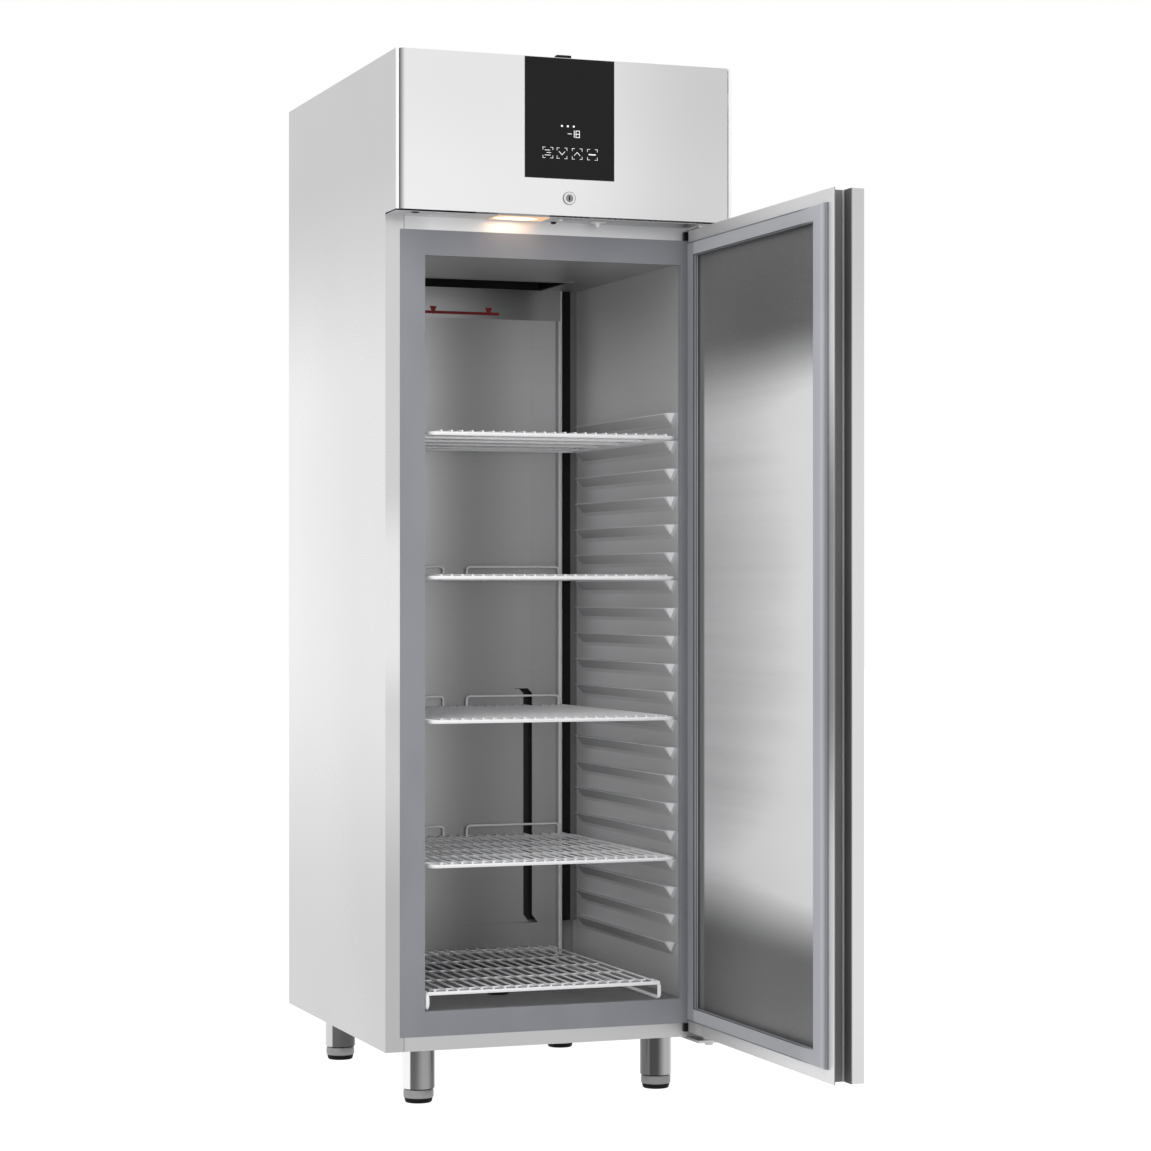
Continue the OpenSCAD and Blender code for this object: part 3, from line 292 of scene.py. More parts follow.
def rail_painted_light(made):
    """Painted light: the rail under the header gets more light than the one below the
    opening.
    """
    z = made.height("Z").step_up(1.0, 1.2)
    return z * (0.46 + made.height("X").step_up(-0.3, -0.25) * 0.4)


rail_steel = brushed_steel(
    "rail_stainless", 0.58, 1.0, 0.42, LEVEL_GRAIN, slow=rail_painted_light, show=0.4,
    patches=((rail_seam, 0.1, 1.0),),
)
wear(None, rail_steel, "face_rails")
roof_steel = brushed_steel(
    "roof_galvanised", 0.5, 0.62, 0.38, (40.0, 40.0, 40.0), (9.0, 9.0, 9.0)
)
wear(None, roof_steel, "roof_panel", "unit_tray", "hinge_screws")


# Liner: thinner stainless sheets with pressed runners, duller than the outer
# ones, and the panels of the air duct in front of the rear wall.


def duct_painted_light(made):
    """Painted light: the duct panel is lighter higher up and towards both its sides."""
    x = made.height("X")
    up = 0.28 + made.height("Z").step_up(0.7, 1.8) * 0.22
    left = 1.0 - x.step_up(-0.15, 0.03)
    return (up * (0.84 + left * 0.95 + x.step_up(0.03, 0.17) * 0.42) - 0.2) * 1.9


def duct_fold_highlight(made):
    """Painted highlight: the panel's folded rails catch the light."""
    return outward(made, 0.2352, 0.2362)


def duct_crease_painted_reflection(made):
    """Painted reflection: a shallow crease beside each rail mirrors the dark runners."""
    x = made.height("X")
    return (x * x).within(0.229 ** 2, 0.2348 ** 2, 0.0006)


def runner_edge_painted_highlight(made):
    """Painted highlight: the runners' bent edges are thin bright lines."""
    return 1.0 - outward(made, 0.2606, 0.2618)


RUNNER_FRONT = FACE_Y + 0.064
NOSE_SOFT = 0.004


def runner_all(made):
    """1 on the runners, 0 on the flat wall beside them."""
    return 1.0 - outward(made, 0.2741, 0.2747)


def runner_face_painted_shade(made):
    """Painted shade: the runners' slanting faces look down and stay darker than the flat
    wall.
    """
    behind = made.height("Y").step_up(RUNNER_FRONT, RUNNER_FRONT + NOSE_SOFT)
    return runner_all(made) * behind


def runner_nose_painted_highlight(made):
    """Painted highlight: the runners' front ends are bright triangles."""
    behind = made.height("Y").step_up(RUNNER_FRONT - NOSE_SOFT, RUNNER_FRONT)
    return runner_all(made) * (1.0 - behind)


def wall_painted_light(made):
    """Painted light: the walls are lightest deep inside, away from the top."""
    deep = made.height("Y").step_up(0.0, 0.55)
    top = made.height("Z").step_up(1.42, 1.6)
    return (0.22 + deep * 0.66) * (1.0 - top * 0.5) * 1.17


def ceiling_painted_light(made):
    """Painted light: the ceiling is far lighter than the floor, a little less so at its
    back.
    """
    back = made.height("Y").step_up(0.1, 0.45)
    return made.height("Z").step_up(0.9, 1.1) * (1.0 - back * 0.35)


liner_steel = brushed_steel(
    "liner_stainless", 0.45, 1.0, 0.3, LEVEL_GRAIN, metal=0.4, slow=wall_painted_light,
    patches=(
        (runner_face_painted_shade, 0.6, 0.4), (runner_edge_painted_highlight, 0.97, 0.2), (runner_nose_painted_highlight, 0.97, 0.1)
    ),
)
wear(None, liner_steel, "liner_walls")
end_steel = brushed_steel(
    "liner_end_stainless", 0.2, 0.37, 0.3, (4.0, 900.0, 4.0), metal=0.35,
    slow=ceiling_painted_light,
)
wear(None, end_steel, "liner_ends")


STRIPS_LOW = 0.294


def below_strips(made):
    """Under the corner strips the bare rear wall shows."""
    return 1.0 - made.height("Z").step_up(STRIPS_LOW - 0.006, STRIPS_LOW)


# Painted shade: the rear wall behind the duct is nearly black, and a lighter grey below
# the corner strips.
rear_painted_shade = brushed_steel(
    "rear_liner_painted_shade", 0.05, 0.08, 0.5, LEVEL_GRAIN,
    patches=((below_strips, 0.36, 0.3),),
)
wear(None, rear_painted_shade, "liner_rear")
duct_steel = brushed_steel(
    "duct_stainless", 0.21, 0.86, 0.34, LEVEL_GRAIN, metal=0.7, slow=duct_painted_light, show=0.6,
    patches=((duct_crease_painted_reflection, 0.36, 0.7), (duct_fold_highlight, 1.0, 0.0)),
)
wear(None, duct_steel, "duct_panel", "duct_cover")


def band_painted_light(made):
    """Painted light: the band is light at its left and dark before its right end."""
    x = made.height("X")
    return (1.0 - x.step_up(-0.1, 0.14)) * 0.8 + x.step_up(0.15, 0.2) * 0.24


band_steel = brushed_steel(
    "band_stainless", 0.24, 0.99, 0.32, LEVEL_GRAIN, slow=band_painted_light, show=0.5
)
wear(None, band_steel, "duct_band")


# Foam: poured between the sheets, where it sets and holds them, seen only where a
# panel is off. The evaporator's box is foam between thin sheets.

foam = Finish("foam", Roughness=0.9)
foam.set(
    Base_Color=foam.blend(
        foam.noise((60, 60, 60)), (0.8, 0.7, 0.45, 1), (0.9, 0.82, 0.6, 1)
    )
)
foam.bump(foam.noise((300, 300, 300), 3.0), 0.4, 0.001)
wear(None, foam, "insulation", "door_insulation")
box_skin = brushed_steel("box_skin", 0.55, 0.65, 0.4, (60.0, 60.0, 60.0))
wear(None, box_skin, "evaporator_box")


# Grey frame round the opening: moulded plastic that parts the warm sheets from
# the cold ones, with a faint moulding grain.


def moulded(name, dark, light, rough, grain=500.0, depth=0.0001):
    """Moulded plastic or paint: faint clouds of tone and a fine grain."""
    made = Finish(name)
    clouds = made.noise((6.0, 6.0, 3.0))
    made.set(
        Base_Color=made.blend(clouds.step_up(0.3, 0.7), dark, light),
        Roughness=rough + clouds * 0.1,
    )
    made.bump(made.noise((grain, grain, grain)), 0.25, depth)
    return made


frame_plastic = moulded(
    "frame_plastic", (0.245, 0.25, 0.275, 1), (0.29, 0.295, 0.32, 1), 0.45
)
wear(None, frame_plastic, "opening_frame")
black_plastic = moulded("black_plastic", grey(0.005), grey(0.01), 0.5)
black_plastic.set(Specular_IOR_Level=0.2)
wear(
    None, black_plastic, "air_collar", "floor_plug", "hinge_blocks",
    "fascia_clips", "condenser_shroud", "condenser_fan", "evaporator_fan",
)


def strip_edge_painted_light(made):
    """The strips' grey outer edge lies against the wall; its grey is painted light,
    standing for the dimly lit wall beside it.
    """
    return outward(made, 0.2646, 0.2654)


strip_plastic = brushed_steel(
    "strip_plastic", 0.005, 0.01, 0.5, (6.0, 6.0, 3.0), metal=0.0,
    patches=((strip_edge_painted_light, 0.22, 0.2),),
)
strip_plastic.set(Specular_IOR_Level=0.2)
wear(None, strip_plastic, "corner_strips")
white_plastic = moulded("white_plastic", grey(0.72), grey(0.8), 0.35)
wear(
    None, white_plastic, "lamp_housing", "door_switch", "switch_plunger", "door_bushes"
)


# Load line on the duct's top band: a printed dark red line with two triangles
# that point down at it.

LINE_LEFT = -0.1
LINE_RIGHT = 0.0946
LINE_LOW = 1.643
LINE_HIGH = 1.6494
MARKS = (-0.059, 0.070)
MARK_HALF = 0.0085
MARK_TOP = 1.6595
MARK_TIP = 1.6405
INK = 0.0003


def edit(piece):
    """Makes the piece the only one selected and opens it in edit mode."""
    bpy.ops.object.select_all(action="DESELECT")
    piece.select_set(True)
    bpy.context.view_layer.objects.active = piece
    bpy.ops.object.mode_set(mode="EDIT")
    bpy.ops.mesh.select_mode(type="FACE")
    bpy.ops.mesh.select_all(action="SELECT")


def leave_edit():
    bpy.ops.object.mode_set(mode="OBJECT")


def settle(piece):
    """Moves the piece's place, turn and scale into its mesh."""
    bpy.ops.object.select_all(action="DESELECT")
    piece.select_set(True)
    bpy.context.view_layer.objects.active = piece
    bpy.ops.object.transform_apply(location=True, rotation=True, scale=True)


def bar(name, low, high, bevel=0.0, segments=2):
    """A cuboid between two corners, its edges rounded by bevel."""
    low, high = Vector(low), Vector(high)
    bpy.ops.mesh.primitive_cube_add(size=1.0, location=(low + high) / 2)
    piece = bpy.context.object
    piece.name = name
    piece.scale = high - low
    settle(piece)
    if bevel:
        edit(piece)
        bpy.ops.mesh.bevel(offset=bevel, segments=segments, affect="EDGES")
        leave_edit()
    return piece


def join(name, pieces):
    bpy.ops.object.select_all(action="DESELECT")
    for piece in pieces:
        piece.select_set(True)
    bpy.context.view_layer.objects.active = pieces[0]
    bpy.ops.object.join()
    made = bpy.context.object
    made.name = name
    return made


def triangle(name, centre, half, top, tip, front, back):
    """A small triangle that points down, between two depths."""
    bpy.ops.mesh.primitive_cylinder_add(
        vertices=3, radius=1.0, depth=1.0, rotation=(math.pi / 2, 0, 0)
    )
    piece = bpy.context.object
    piece.name = name
    settle(piece)
    piece.rotation_euler = (0, math.pi, 0)
    settle(piece)
    low = Vector([min(v.co[i] for v in piece.data.vertices) for i in range(3)])
    high = Vector([max(v.co[i] for v in piece.data.vertices) for i in range(3)])
    size = high - low
    piece.scale = (2 * half / size.x, (back - front) / size.y, (top - tip) / size.z)
    piece.location = (
        centre - (low.x + high.x) / 2 * piece.scale.x,
        front - low.y * piece.scale.y,
        tip - low.z * piece.scale.z,
    )
    settle(piece)
    return piece


band_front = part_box("duct_band")[0].y
parts = [
    bar(
        "line", (LINE_LEFT, band_front - INK, LINE_LOW),
        (LINE_RIGHT, band_front, LINE_HIGH),
    )
]
for centre in MARKS:
    parts.append(
        triangle("mark", centre, MARK_HALF, MARK_TOP, MARK_TIP,
                 band_front - 2 * INK, band_front)
    )
load_line = join("load_line", parts)
red_ink = moulded("red_ink", (0.3, 0.012, 0.016, 1), (0.4, 0.018, 0.022, 1), 0.45)
wear(load_line, red_ink)
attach(load_line, "cabinet")


# Lamp: a frosted plastic lens pressed into the header's underside, with a warm
# light behind it. The glow lies a little to the left of its middle.

LAMP_WARM = (1.0, 0.62, 0.3)
GLOW_ACROSS = 330.0
GLOW_ALONG = 1100.0
lamp_low, lamp_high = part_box("lamp_lens")
lamp_mid = (lamp_low + lamp_high) / 2
glow_x = lamp_low.x * 0.58 + lamp_high.x * 0.42
lens = Finish("lamp_lens", Roughness=0.35, Emission_Strength=2.0)
across = lens.height("X") - glow_x
along = lens.height("Y") - lamp_mid.y
middle = 1.0 - (across * across * GLOW_ACROSS + along * along * GLOW_ALONG)
glow = middle.step_up(0.1, 0.8)
lens.set(
    Base_Color=lens.blend(glow, (0.9, 0.7, 0.5, 1), (1, 0.95, 0.85, 1)),
    Emission_Color=lens.blend(glow, (0.26, 0.1, 0.025, 1), (1, 0.9, 0.75, 1)),
)
wear(None, lens, "lamp_lens")
bpy.ops.object.light_add(
    type="AREA", location=(lamp_mid.x, lamp_mid.y, lamp_low.z - 0.002)
)
lamp_light = bpy.context.object
lamp_light.data.shape = "RECTANGLE"
lamp_light.data.size = 0.1
lamp_light.data.size_y = 0.05
lamp_light.data.energy = 0.014
lamp_light.data.color = LAMP_WARM


# Header plate: a strip of stainless under the header, with a small white stud and
# a dark one beside the lamp and another dark one at its left end.

plate_steel = brushed_steel("plate_stainless", 0.47, 0.62, 0.28, LEVEL_GRAIN)
wear(None, plate_steel, "header_plate", "hinge_plates")
plate_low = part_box("header_plate")[0]


def stud(name, x, y, radius, drop, finish):
    """A domed stud under the header plate, flat where it is fixed to it."""
    bpy.ops.mesh.primitive_uv_sphere_add(
        segments=24, ring_count=12, radius=1.0, location=(x, y, plate_low.z)
    )
    piece = bpy.context.object
    piece.name = name
    piece.scale = (radius, radius, drop)
    settle(piece)
    edit(piece)
    bpy.ops.mesh.bisect(
        plane_co=(x, y, plate_low.z), plane_no=(0, 0, 1), clear_outer=True,
        use_fill=True,
    )
    leave_edit()
    wear(piece, finish)
    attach(piece, "cabinet")


stud("white_stud", -0.002, -0.0655, 0.005, 0.003, white_plastic)
stud("dark_stud", -0.003, -0.022, 0.006, 0.004, black_plastic)
stud("left_stud", -0.312, -0.083, 0.009, 0.002, black_plastic)


# Control glass: black glass held in the fascia, with white marks printed on it and
# lit from behind: four touch keys, three small lights and the temperature.

glass = Finish("control_glass", Roughness=0.1, Specular_IOR_Level=0.2)
glass.set(Base_Color=glass.blend(glass.noise((8, 8, 8)), grey(0.003), grey(0.006)))
wear(None, glass, "control_glass")
glass_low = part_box("control_glass")[0]
PRINT = 0.0004
print_front = glass_low.y - PRINT
marks = []


def stroke(x0, z0, x1, z1, wide):
    """A printed stroke on the glass from one point to another."""
    run, rise = x1 - x0, z1 - z0
    length = math.hypot(run, rise)
    piece = bar("stroke", (-wide / 2, print_front, -wide / 2),
                (length + wide / 2, glass_low.y, wide / 2))
    piece.location = (x0, 0, z0)
    piece.rotation_euler = (0, -math.atan2(rise, run), 0)
    settle(piece)
    marks.append(piece)


def key_corners(x, z, half, reach, wide):
    """The four corner strokes that frame a touch key."""
    for i in (-1, 1):
        for j in (-1, 1):
            corner_x, corner_z = x + i * half, z + j * half
            stroke(corner_x, corner_z, x + i * (half - reach), corner_z, wide)
            stroke(corner_x, corner_z, corner_x, z + j * (half - reach), wide)


KEY_Z = 1.9
KEY_HALF = 0.0105
CORNER_REACH = 0.005
CORNER_WIDE = 0.0007
KEYS = (-0.0425, -0.0127, 0.0194, 0.0517)
SIGN = 0.001
# Each key's sign: the key, then both ends of a stroke from its middle, then its width
SIGNS = (
    (0, -0.006, 0.005, 0.004, 0.005, SIGN),
    (0, -0.002, 0, 0.006, 0, SIGN),
    (0, -0.006, -0.005, 0.005, -0.005, SIGN),
    (1, -0.006, 0.003, 0, -0.003, SIGN),
    (1, 0, -0.003, 0.006, 0.003, SIGN),
    (2, -0.006, -0.003, 0, 0.003, SIGN),
    (2, 0, 0.003, 0.006, -0.003, SIGN),
    (3, -0.007, 0, 0.006, 0, 0.0021),
)
LIGHT_Z = 1.9542
LIGHT_STEP = 0.0125
LIGHT_WIDE = 0.0035
for x in KEYS:
    key_corners(x, KEY_Z, KEY_HALF, CORNER_REACH, CORNER_WIDE)
for key, x0, z0, x1, z1, wide in SIGNS:
    stroke(KEYS[key] + x0, KEY_Z + z0, KEYS[key] + x1, KEY_Z + z1, wide)
for i in (-1, 0, 1):
    x = i * LIGHT_STEP
    stroke(x - 0.0005, LIGHT_Z, x - 0.0003, LIGHT_Z, LIGHT_WIDE)

DIGIT_Z = 1.9393
DIGIT_HALF = 0.0065
DIGIT_SIDE = 0.0036
DIGIT_WIDE = 0.0011
SEGMENTS = {"1": "bc", "8": "abcdefg", "-": "g"}


def digit(shown, x):
    """A seven-segment digit."""
    w, h = DIGIT_SIDE, DIGIT_HALF
    ends = {
        "a": (-w, h, w, h), "b": (w, 0, w, h), "c": (w, -h, w, 0), "d": (-w, -h, w, -h),
        "e": (-w, -h, -w, 0), "f": (-w, 0, -w, h), "g": (-w, 0, w, 0),
    }
    for name in SEGMENTS[shown]:
        x0, z0, x1, z1 = ends[name]
        stroke(x + x0, DIGIT_Z + z0, x + x1, DIGIT_Z + z1, DIGIT_WIDE)


digit("-", 0.0035)
digit("1", 0.0095)
digit("8", 0.0205)
printed = join("control_marks", marks)
white_ink = Finish("white_ink", Roughness=0.5, Emission_Strength=0.5)
white_ink.set(
    Base_Color=white_ink.blend(white_ink.noise((90, 90, 90)), grey(0.7), grey(0.85)),
    Emission_Color=(1, 1, 1, 1),
)
wear(printed, white_ink)
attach(printed, "fascia")
board = moulded("board_green", (0.02, 0.1, 0.05, 1), (0.03, 0.14, 0.07, 1), 0.4)
wear(None, board, "control_board")


# Lock: a turned and plated barrel clamped in the fascia, with the plug that the
# key turns.

LOCK_X = 0.003
LOCK_Z = 1.811


def from_lock(made):
    """How far the point is from the lock's axis, to the right and up."""
    return made.height("X") - LOCK_X, made.height("Z") - LOCK_Z


def lock_groove_painted_shade(made):
    """Painted shade: dark turned grooves round the barrel and the plug, and the keyhole.
    """
    x, z = from_lock(made)
    square = x * x + z * z
    rim = square.step_up(0.0117 ** 2, 0.0124 ** 2)
    groove = square.within(0.0066 ** 2, 0.0074 ** 2, 0.000006)
    keyhole = (1.0 - (x * x).step_up(0.0011 ** 2, 0.0017 ** 2)) * (
        1.0 - (z * z).step_up(0.0042 ** 2, 0.005 ** 2)
    )
    return (rim * 0.8 + groove * 0.8 + keyhole).step_up(0.0, 1.0)


def lock_plug(made):
    """The plug is darker than the barrel round it."""
    x, z = from_lock(made)
    return 1.0 - (x * x + z * z).step_up(0.006 ** 2, 0.0066 ** 2)


lock_metal = brushed_steel(
    "lock_metal", 0.74, 0.9, 0.2, (300.0, 300.0, 300.0),
    patches=((lock_plug, 0.28, 0.8), (lock_groove_painted_shade, 0.02, 0.3)),
)
wear(None, lock_metal, "lock_housing", "lock_cylinder")


# Door: the inner sheet is stainless, pressed in at its middle and brushed level, with a
# painted reflection that is bright in its middle and dark at both ends. The gasket sits
# round the pressing.


def door_painted_reflection(made):
    """Painted reflection: bright in its middle, dark at both ends, lightest at the free
    edge.
    """
    z = made.height("Z")
    wide_bands = made.noise((0.6, 0.6, 5.0), 1.0)
    fine_bands = made.noise((0.9, 0.9, 40.0), 1.0)
    bands = wide_bands * 0.7 + fine_bands * 0.3
    middle = z.step_up(0.33, 0.5) * (1.0 - z.step_up(1.36, 1.54))
    across = 1.0 - made.height("Y").step_up(-0.85, -0.02)
    ends = z.step_up(1.1, 1.35) * 0.18 + (1.0 - z.step_up(0.5, 0.66)) * 0.22
    upper_reflection = (1.0 - middle) * (1.0 - across) * z.step_up(0.8, 1.2) * 0.12
    return middle * (0.41 + ends + bands * 0.45 + across * 0.56) + upper_reflection


def door_corner(made):
    """Dull beside the gasket's hinge side, which shades it."""
    return made.height("Y").within(-0.104, -0.078, 0.008)


def margin_painted_light(made):
    """Painted light: the flat margin outside the gasket is kept bright, most at the free
    edge.
    """
    y = made.height("Y")
    z = made.height("Z")
    inside = y.within(-0.7, -0.075, 0.004) * z.within(0.168, 1.726, 0.004)
    return (1.0 - inside) * (1.0 - y.step_up(-0.66, 0.05) * 0.75)


def margin_painted_reflection(made):
    """Painted reflection: halfway up, the free margin mirrors the dark opening."""
    return margin_painted_light(made) * made.height("Z").within(0.85, 1.15, 0.35) * 0.7


door_inner = brushed_steel(
    "door_inner_stainless", 0.08, 1.0, 0.34, (60.0, 60.0, 900.0), metal=0.3,
    slow=door_painted_reflection, show=0.6, patches=(
        (door_corner, 0.22, 0.1), (margin_painted_light, 0.9, 0.6), (margin_painted_reflection, 0.2, 0.6)
    ),
)
wear(None, door_inner, "door_inner_skin")


# Grip: a dark channel along the free edge, drawn in plastic and open at both ends,
# with a bead in its corner painted lighter as a highlight and a thin dark inlay on its
# back as painted shade.

grip_plastic = moulded("grip_plastic", grey(0.185), grey(0.23), 0.5)
wear(None, grip_plastic, "door_grip")
grip_low, grip_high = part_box("door_grip")
GRIP_WALL = 0.002
BEAD = 0.0042
INLAY = 0.0006
channel_x = grip_high.x - GRIP_WALL
channel_y = grip_high.y - GRIP_WALL
bead = bar(
    "grip_bead", (channel_x - BEAD, channel_y - BEAD, grip_low.z),
    (channel_x, channel_y, grip_high.z), bevel=0.0014, segments=3,
)
bead_painted_highlight = moulded("bead_painted_highlight", grey(0.42), grey(0.5), 0.4)
wear(bead, bead_painted_highlight)
inlay = bar(
    "grip_shade", (channel_x - INLAY, grip_low.y, grip_low.z),
    (channel_x, channel_y - BEAD, grip_high.z), bevel=0.0002,
)
grip_painted_shade = moulded("grip_painted_shade", grey(0.08), grey(0.1), 0.6)
wear(inlay, grip_painted_shade)
for piece in (bead, inlay):
    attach(piece, "door")


# Gasket: grey rubber with a flat flange on the door and a soft bulb towards the
# cabinet, welded at mitred corners.

gasket_low, gasket_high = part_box("door_gasket")
gasket_rubber = moulded(
    "gasket_rubber", (0.42, 0.43, 0.46, 1), (0.46, 0.47, 0.5, 1), 0.5
)
GASKET_WIDE = 0.038
# Painted shade: dark lines in the gasket's folds away from the free side, the free side
# darker towards the door, and the hinge side darker as a whole.
x = gasket_rubber.height("X")
free = 1.0 - gasket_rubber.height("Y").step_up(-0.7, -0.6)
folds = (
    x.within(gasket_high.x - 0.0136, gasket_high.x - 0.0116, 0.0006)
    + x.within(gasket_high.x - 0.0085, gasket_high.x - 0.007, 0.0006) * 0.7
    + x.within(gasket_high.x - 0.0035, gasket_high.x + 0.01, 0.0006)
)
depth = x.step_up(gasket_low.x + 0.0004, gasket_high.x)
strip_y = gasket_high.y - GASKET_WIDE
hinge = gasket_rubber.height("Y").step_up(strip_y - 0.006, strip_y)
shade = free * depth * 0.8 + (1.0 - free) * folds + hinge * 0.3
plain = gasket_rubber.surface.inputs["Base Color"].links[0].from_socket
gasket_rubber.set(
    Base_Color=gasket_rubber.blend(
        shade.step_up(0.0, 1.2), Socket(gasket_rubber.tree, plain),
        (0.06, 0.062, 0.07, 1),
    )
)
# Steps of the section: margin at the sides, margin at the ends, height, in mm
SECTION = (
    (0, 0, 0), (0, 0, 4.4), (0.5, 0.4, 5), (3, 2, 5.2), (3, 2, 9), (3.7, 2.5, 12),
    (5.5, 4, 13.6), (8, 6, 14), (38, 29.4, 14), (39.5, 30.6, 13.3), (40, 31, 12),
    (40, 31, 9.5), (38.6, 29.9, 9), (38.6, 29.9, 7.5), (40, 31, 7), (40, 31, 5),
    (38.8, 30, 4.5), (38.8, 30, 3), (40, 31, 2.5), (40, 31, 0),
)


def lofted(name, loops, closed=False):
    """A skin drawn from loop to loop: the first edge loop is extruded and resized.

    loops holds each loop's centre and its size along the three axes. The first one
    is the active object's own outline.
    """
    piece = bpy.context.object
    piece.name = name
    edit(piece)
    bpy.ops.mesh.delete(type="ONLY_FACE")
    bpy.ops.mesh.select_mode(type="EDGE")
    bpy.ops.mesh.select_all(action="SELECT")
    if not closed:
        bpy.ops.mesh.edge_face_add()
        bpy.ops.mesh.select_all(action="SELECT")
    centre, size = loops[0]
    for next_centre, next_size in loops[1:]:
        bpy.ops.mesh.extrude_edges_move(
            TRANSFORM_OT_translate={"value": Vector(next_centre) - Vector(centre)}
        )
        ratio = [b / a if a else 1.0 for a, b in zip(size, next_size)]
        bpy.ops.transform.resize(value=ratio, center_override=next_centre)
        centre, size = next_centre, next_size
    if not closed:
        bpy.ops.mesh.edge_face_add()
    bpy.ops.mesh.select_all(action="SELECT")
    bpy.ops.mesh.remove_doubles(threshold=0.00002)
    bpy.ops.mesh.normals_make_consistent(inside=False)
    leave_edit()
    return piece


gasket_mid = (gasket_low + gasket_high) / 2
gasket_size = gasket_high - gasket_low
loops = []
for side, end, rise in SECTION + SECTION[:1]:
    loops.append((
        (gasket_high.x - rise / 1000, gasket_mid.y, gasket_mid.z),
        (0, gasket_size.y - side / 500, gasket_size.z - end / 500),
    ))
bpy.ops.mesh.primitive_plane_add(
    size=1.0, location=loops[0][0], rotation=(0, math.pi / 2, 0)
)
plane = bpy.context.object
plane.scale = (gasket_size.z, gasket_size.y, 1)
settle(plane)
gasket = lofted("gasket", loops, closed=True)
bpy.ops.object.shade_smooth_by_angle(angle=math.radians(30))
wear(gasket, gasket_rubber)
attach(gasket, "door")
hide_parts("door_gasket")


# Legs: polished steel sleeves under the base, with turned steel feet that screw
# into them and black rubber pads pressed on the feet.

LEG_X = 0.257


def leg_painted_reflection(made):
    """Painted reflections: the left legs mirror a bright streak, the front legs also the
    pale floor.
    """
    x = made.height("X")
    right = x.step_up(-0.01, 0.01)
    front = 1.0 - made.height("Y").step_up(0.3, 0.4)
    off = x - (right * (2 * LEG_X) - LEG_X)
    streak = (1.0 - off.step_up(-0.0252, -0.0228)) * (0.65 + front * 0.35)
    hump = off.step_up(-0.018, 0.002) * (1.0 - off.step_up(0.008, 0.024)) * 0.28
    pale = (
        (1.0 - off.step_up(-0.024, -0.021)) * 0.12 + off.step_up(-0.01, 0.01) * 0.44
        + off.step_up(0.018, 0.027) * 0.27
    )
    return (1.0 - right) * (streak + hump * front) + right * front * pale


leg_steel = brushed_steel(
    "leg_stainless", 0.05, 0.92, 0.16, (900.0, 900.0, 4.0), slow=leg_painted_reflection, show=0.4
)
wear(None, leg_steel, "leg_sleeves")
foot_steel = brushed_steel(
    "foot_stainless", 0.26, 0.4, 0.34, (4.0, 4.0, 900.0), metal=0.5
)
pad_rubber = moulded("pad_rubber", grey(0.004), grey(0.008), 0.6)
pad_rubber.set(Specular_IOR_Level=0.15)

FEET = ("foot_front_left", "foot_front_right", "foot_rear_left", "foot_rear_right")
PAD_HEIGHT = 0.010
FOOT_HEIGHT = 0.0187


def turned(name, axis, profile, steps=64):
    """A turned piece: rings of radius and height about an upright axis."""
    first = profile[0]
    bpy.ops.mesh.primitive_circle_add(
        vertices=steps, radius=first[0], location=(axis[0], axis[1], first[1]),
        fill_type="NGON",
    )
    settle(bpy.context.object)
    loops = [((axis[0], axis[1], z), (r, r, 0)) for r, z in profile]
    piece = lofted(name, loops)
    bpy.ops.object.shade_smooth_by_angle(angle=math.radians(35))
    return piece


for name in FEET:
    low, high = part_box(name)
    cx, cy = (low.x + high.x) / 2, (low.y + high.y) / 2
    r = (high.x - low.x) / 2
    top = PAD_HEIGHT + FOOT_HEIGHT
    body = turned(
        name + "_screw", (cx, cy),
        [(r - 0.003, PAD_HEIGHT - 0.001), (r - 0.001, PAD_HEIGHT),
         (r, PAD_HEIGHT + 0.0015), (r, top - 0.0055), (r - 0.001, top - 0.0025),
         (r - 0.003, top - 0.0015), (0.008, top - 0.0015), (0.008, high.z)],
    )
    wear(body, foot_steel)
    pad = turned(
        name + "_pad", (cx, cy),
        [(r - 0.005, 0.0), (r - 0.0035, 0.0015), (r - 0.002, PAD_HEIGHT - 0.002),
         (r - 0.002, PAD_HEIGHT)],
    )
    wear(pad, pad_rubber)
    for piece in (body, pad):
        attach(piece, name)
    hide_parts(name)


# Shelves: bright wires welded on a bent frame wire, with two stops that rise at
# the back. All four are made alike. The floor grid below them is welded from the
# same wires and stands on two bent runners.

FRAME_R = 0.004
TOP_R = 0.0021
CROSS_R = 0.0025
SHELF_HALF = 0.261
CORNER_R = 0.018
TOP_WIRES = 23
CROSS_WIRES = 5
TOP_LIFT = 0.0052
CROSS_LIFT = 0.0015
OVERHANG = 0.003
STOP_RISE = 0.027
STOPS = ((-0.081, -0.037), (0.017, 0.233))
wire_steel = brushed_steel(
    "shelf_wire", 0.96, 1.0, 0.22, (200.0, 200.0, 200.0), metal=0.1
)


def wire(points, radius, closed=False):
    """A round wire through the points."""
    path = bpy.data.curves.new("wire", "CURVE")
    path.dimensions = "3D"
    path.bevel_depth = radius
    path.bevel_resolution = 1
    path.use_fill_caps = True
    line = path.splines.new("POLY")
    line.points.add(len(points) - 1)
    for knot, point in zip(line.points, points):
        knot.co = (*point, 1)
    line.use_cyclic_u = closed
    piece = bpy.data.objects.new("wire", path)
    bpy.context.scene.collection.objects.link(piece)
    bpy.ops.object.select_all(action="DESELECT")
    piece.select_set(True)
    bpy.context.view_layer.objects.active = piece
    bpy.ops.object.convert(target="MESH")
    return bpy.context.object


def arc(cx, cy, r, start, steps):
    """Points of a quarter circle in plan, from the angle start in degrees."""
    turns = [math.radians(start + 90 * i / steps) for i in range(steps + 1)]
    return [(cx + r * math.cos(t), cy + r * math.sin(t)) for t in turns]


